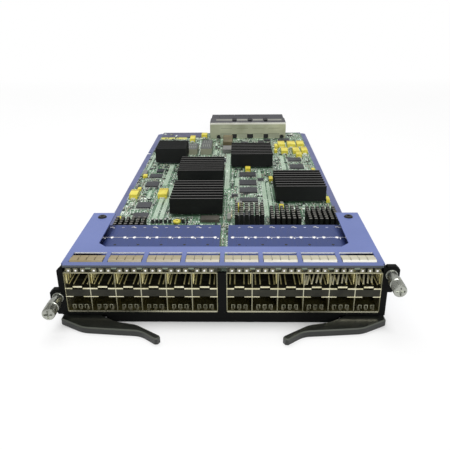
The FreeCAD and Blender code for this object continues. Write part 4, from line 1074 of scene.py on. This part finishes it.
small_tantalums = [(-82.4, 243.0, 4, 6, 2.4), (-81.6, 204.5, 3, 5, 2.4), (-86.0, 131.0, 3.4, 8, 3.0),
                   (40.0, 233.0, 3.5, 9, 2.6), (84.0, 261.0, 3, 6, 2.6), (85.6, 176.0, 3, 8, 3.0),
                   (44.8, 157.0, 3.4, 7, 3.4), (52.5, 352.0, 3.4, 12, 3.0), (51.0, 332.0, 3.4, 7, 3.0),
                   (63.0, 340.0, 5, 3, 2.0), (-85.0, 250.0, 2.5, 4, 2.0), (-48.0, 276.0, 2.4, 5, 2.0)]
film_capacitors = [(8.0, 154.5, 2.7, 9.0, 5.4), (11.6, 154.5, 2.7, 9.0, 5.4)]
tapes = [(-78.3, 396.0, 17.0, 8.0, 0.5), (-61.5, 396.0, 12.6, 8.0, 0.5)]
pale_parts = [(2.4 * mm, 139.5 * mm, board_top, 0.0, (3.2, 4.0, 1.6)),
              (1.6 * mm, 145.0 * mm, board_top, 0.2, (2.0, 3.0, 1.2))]
pale_resin = finish("pale_resin", (214, 206, 150), (240, 234, 196), (0.4, 0.6))
yellow_tape = finish("yellow_tape", (206, 202, 96), (226, 224, 136), (0.4, 0.6))
stamp("small_tantalums", blocks, on_board(small_tantalums), yellow_resin, "yellow_resin")
stamp("pale_parts", blocks, pale_parts, pale_resin, "grey_ceramic")
stamp("film_capacitors", blocks, on_board(film_capacitors), yellow_resin, "yellow_resin")
stamp("tape_strips", blocks, on_board(tapes), yellow_tape, "yellow_resin")


def ring_mesh(name, centre, radius, thickness, material, around=28, tube=12):
    """A ring lying on the board."""
    mesh, loops = bmesh.new(), []
    for i in range(around):
        turn, loop = 2 * math.pi * i / around, []
        for j in range(tube):
            swing = 2 * math.pi * j / tube
            r = radius + thickness * math.cos(swing)
            loop.append(mesh.verts.new((centre[0] + r * math.cos(turn), centre[1] + r * math.sin(turn),
                                        centre[2] + thickness * (1 + math.sin(swing)))))
        loops.append(loop)
    skin(mesh, loops + loops[:1])
    return keep(name, mesh, material, smooth=True)


choke = ring_mesh("ring_choke", (-39.4 * mm, 128.6 * mm, board_top), 2.1 * mm, 1.1 * mm, yellow_resin)
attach(choke, "card")
can_height, can_row = 3.4 * mm, [(-58.5 + 3.4 * k, 128.2) for k in range(5)] + [(-34.6, 128.6)]
cans = [(x * mm, y * mm, board_top) for x, y in can_row]
can_tops = [(x, y, z + can_height) for x, y, z in cans]
stamp("small_electrolytics", discs, cans, resistor_black, "black_resin", radius=1.25 * mm,
      height=can_height, sides=16)
stamp("electrolytic_tops", discs, can_tops, solder, "turned_steel", radius=0.95 * mm, height=0.03 * mm,
      sides=16)

# ---- Backplane connector ------------------------------------------------------------------------
# A stamped nickel shield over four plug-in modules of dark liquid-crystal polymer, whose contact
# rows face the backplane. Its front and top are stepped and pierced, with dark plates of painted shade
# for the openings, and a flat coil stands beside it.

shell_low, shell_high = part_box("backplane_shell")
shell_middle, shell_width = (shell_low.x + shell_high.x) / 2, (shell_high.x - shell_low.x) / mm
proud = 0.01 * mm
shield = finish("shield_nickel", (166, 169, 142), (194, 197, 172), (0.35, 0.55), metallic=0.5, cloud=45.0,
                grain=700.0, stretch=(0.1, 1, 1))
tree, shader = inside(shield)
paint_over(tree, shader, number(tree, "GREATER_THAN", upward(tree), 0.9), (64, 64, 68))
dress(shield, "backplane_shell")
module_polymer = finish("module_polymer", (28, 28, 34), (46, 46, 54), (0.45, 0.6))
dress(module_polymer, "backplane_modules")

contact_columns, contact_rows, narrowest_module = 10, 8, 15 * mm
contacts = [(low.x + (2.3 + i * 1.52) * mm, high.y - 2.6 * mm, low.z + (3.0 + j * 1.9) * mm)
            for low, high in islands("backplane_modules") if high.x - low.x >= narrowest_module
            for i in range(contact_columns) for j in range(contact_rows)]
contact_gold = finish("contact_gold", (196, 160, 84), (226, 196, 120), (0.2, 0.35), metallic=0.95)
stamp("backplane_contacts", blocks, contacts, contact_gold, "spring_bronze",
      size=(0.4 * mm, 1.6 * mm, 0.9 * mm))

white_edge = finish("rolled_edge", (222, 222, 208), (244, 244, 234), (0.3, 0.45))
shield_pale = finish("shield_pale", (142, 142, 132), (168, 168, 156), (0.35, 0.5), metallic=0.4)
shield_step = finish("shield_step", (156, 160, 138), (176, 180, 158), (0.4, 0.55), metallic=0.4)
shield_dark = finish("shield_dark", (98, 102, 84), (118, 122, 102), (0.4, 0.6), metallic=0.4)


def on_front(x, height, width, depth, rise, gap=proud):
    """A place for a thin plate on the shield's front, in mm over the shield's foot."""
    return (x * mm, shell_low.y - gap, shell_low.z + height * mm, 0.0, (width, depth, rise))


def on_top(x, y, width, depth, rise):
    """A place for a thin plate on the shield's top, in mm."""
    return (x * mm, y * mm, shell_high.z, 0.0, (width, depth, rise))


edge_bars = [(shell_middle, shell_low.y + 0.5 * mm, shell_high.z, 0.0, (shell_width, 1.0, 0.04)),
             (shell_middle, shell_low.y - 2 * proud, shell_high.z - 1.9 * mm, 0.0,
              (shell_width, 0.05, 1.9))]
step_plates = [on_front(x, 1.2, width, 0.03, 5.0)
               for x, width in ((-6.6, 14.0), (13.5, 10.5), (33.2, 10.5), (52.6, 13.0))]
step_lines = [on_front(x, height, 14.0, 0.05, 0.3, gap=2 * proud)
              for x in (-5.7, 13.7, 33.1, 52.5) for height in (5.6, 12.4)]
# Painted shade: dark plates on the shield's front and top stand for openings.
foot_height = (board_top - shell_low.z) / mm + 0.6
foot_openings = [on_front(x, foot_height, width, 0.06, rise) for x, width, rise in (
    (-15.4, 3.0, 3.8), (4.0, 5.8, 4.8), (23.4, 7.6, 4.8), (42.8, 5.8, 4.8), (62.2, 3.0, 3.8))]
top_strips = [on_top(x, 413.5, width, 6.5, 0.04)
              for x, width in ((-9.0, 19.8), (13.6, 13.0), (33.4, 12.2), (54.2, 17.2))]
top_openings = [on_top(x, 417.0, 4.6, 12.0, 0.05) for x in (4.0, 23.4, 42.8)]
for name, places, material in (("front_edge", edge_bars, white_edge),
                               ("top_strips", top_strips, shield_pale),
                               ("stepped_plates", step_plates, shield_step),
                               ("stamped_lines", step_lines, shield_dark),
                               ("foot_openings", foot_openings, shadow_black),
                               ("top_openings", top_openings, shadow_black)):
    stamp("shield_" + name, blocks, places, material, "nickel_plate")

coil_height = 1.2 * mm
stamp("rear_coil", discs, [(73.4 * mm, 408.5 * mm, board_top)], resistor_black, "black_resin",
      radius=3.6 * mm, height=coil_height, sides=24)
stamp("rear_coil_rim", domes, [(73.6 * mm, 409.2 * mm, board_top + coil_height)], silk, "turned_steel",
      radius=2.2 * mm, flat=(1.3, 0.5, 0.2))
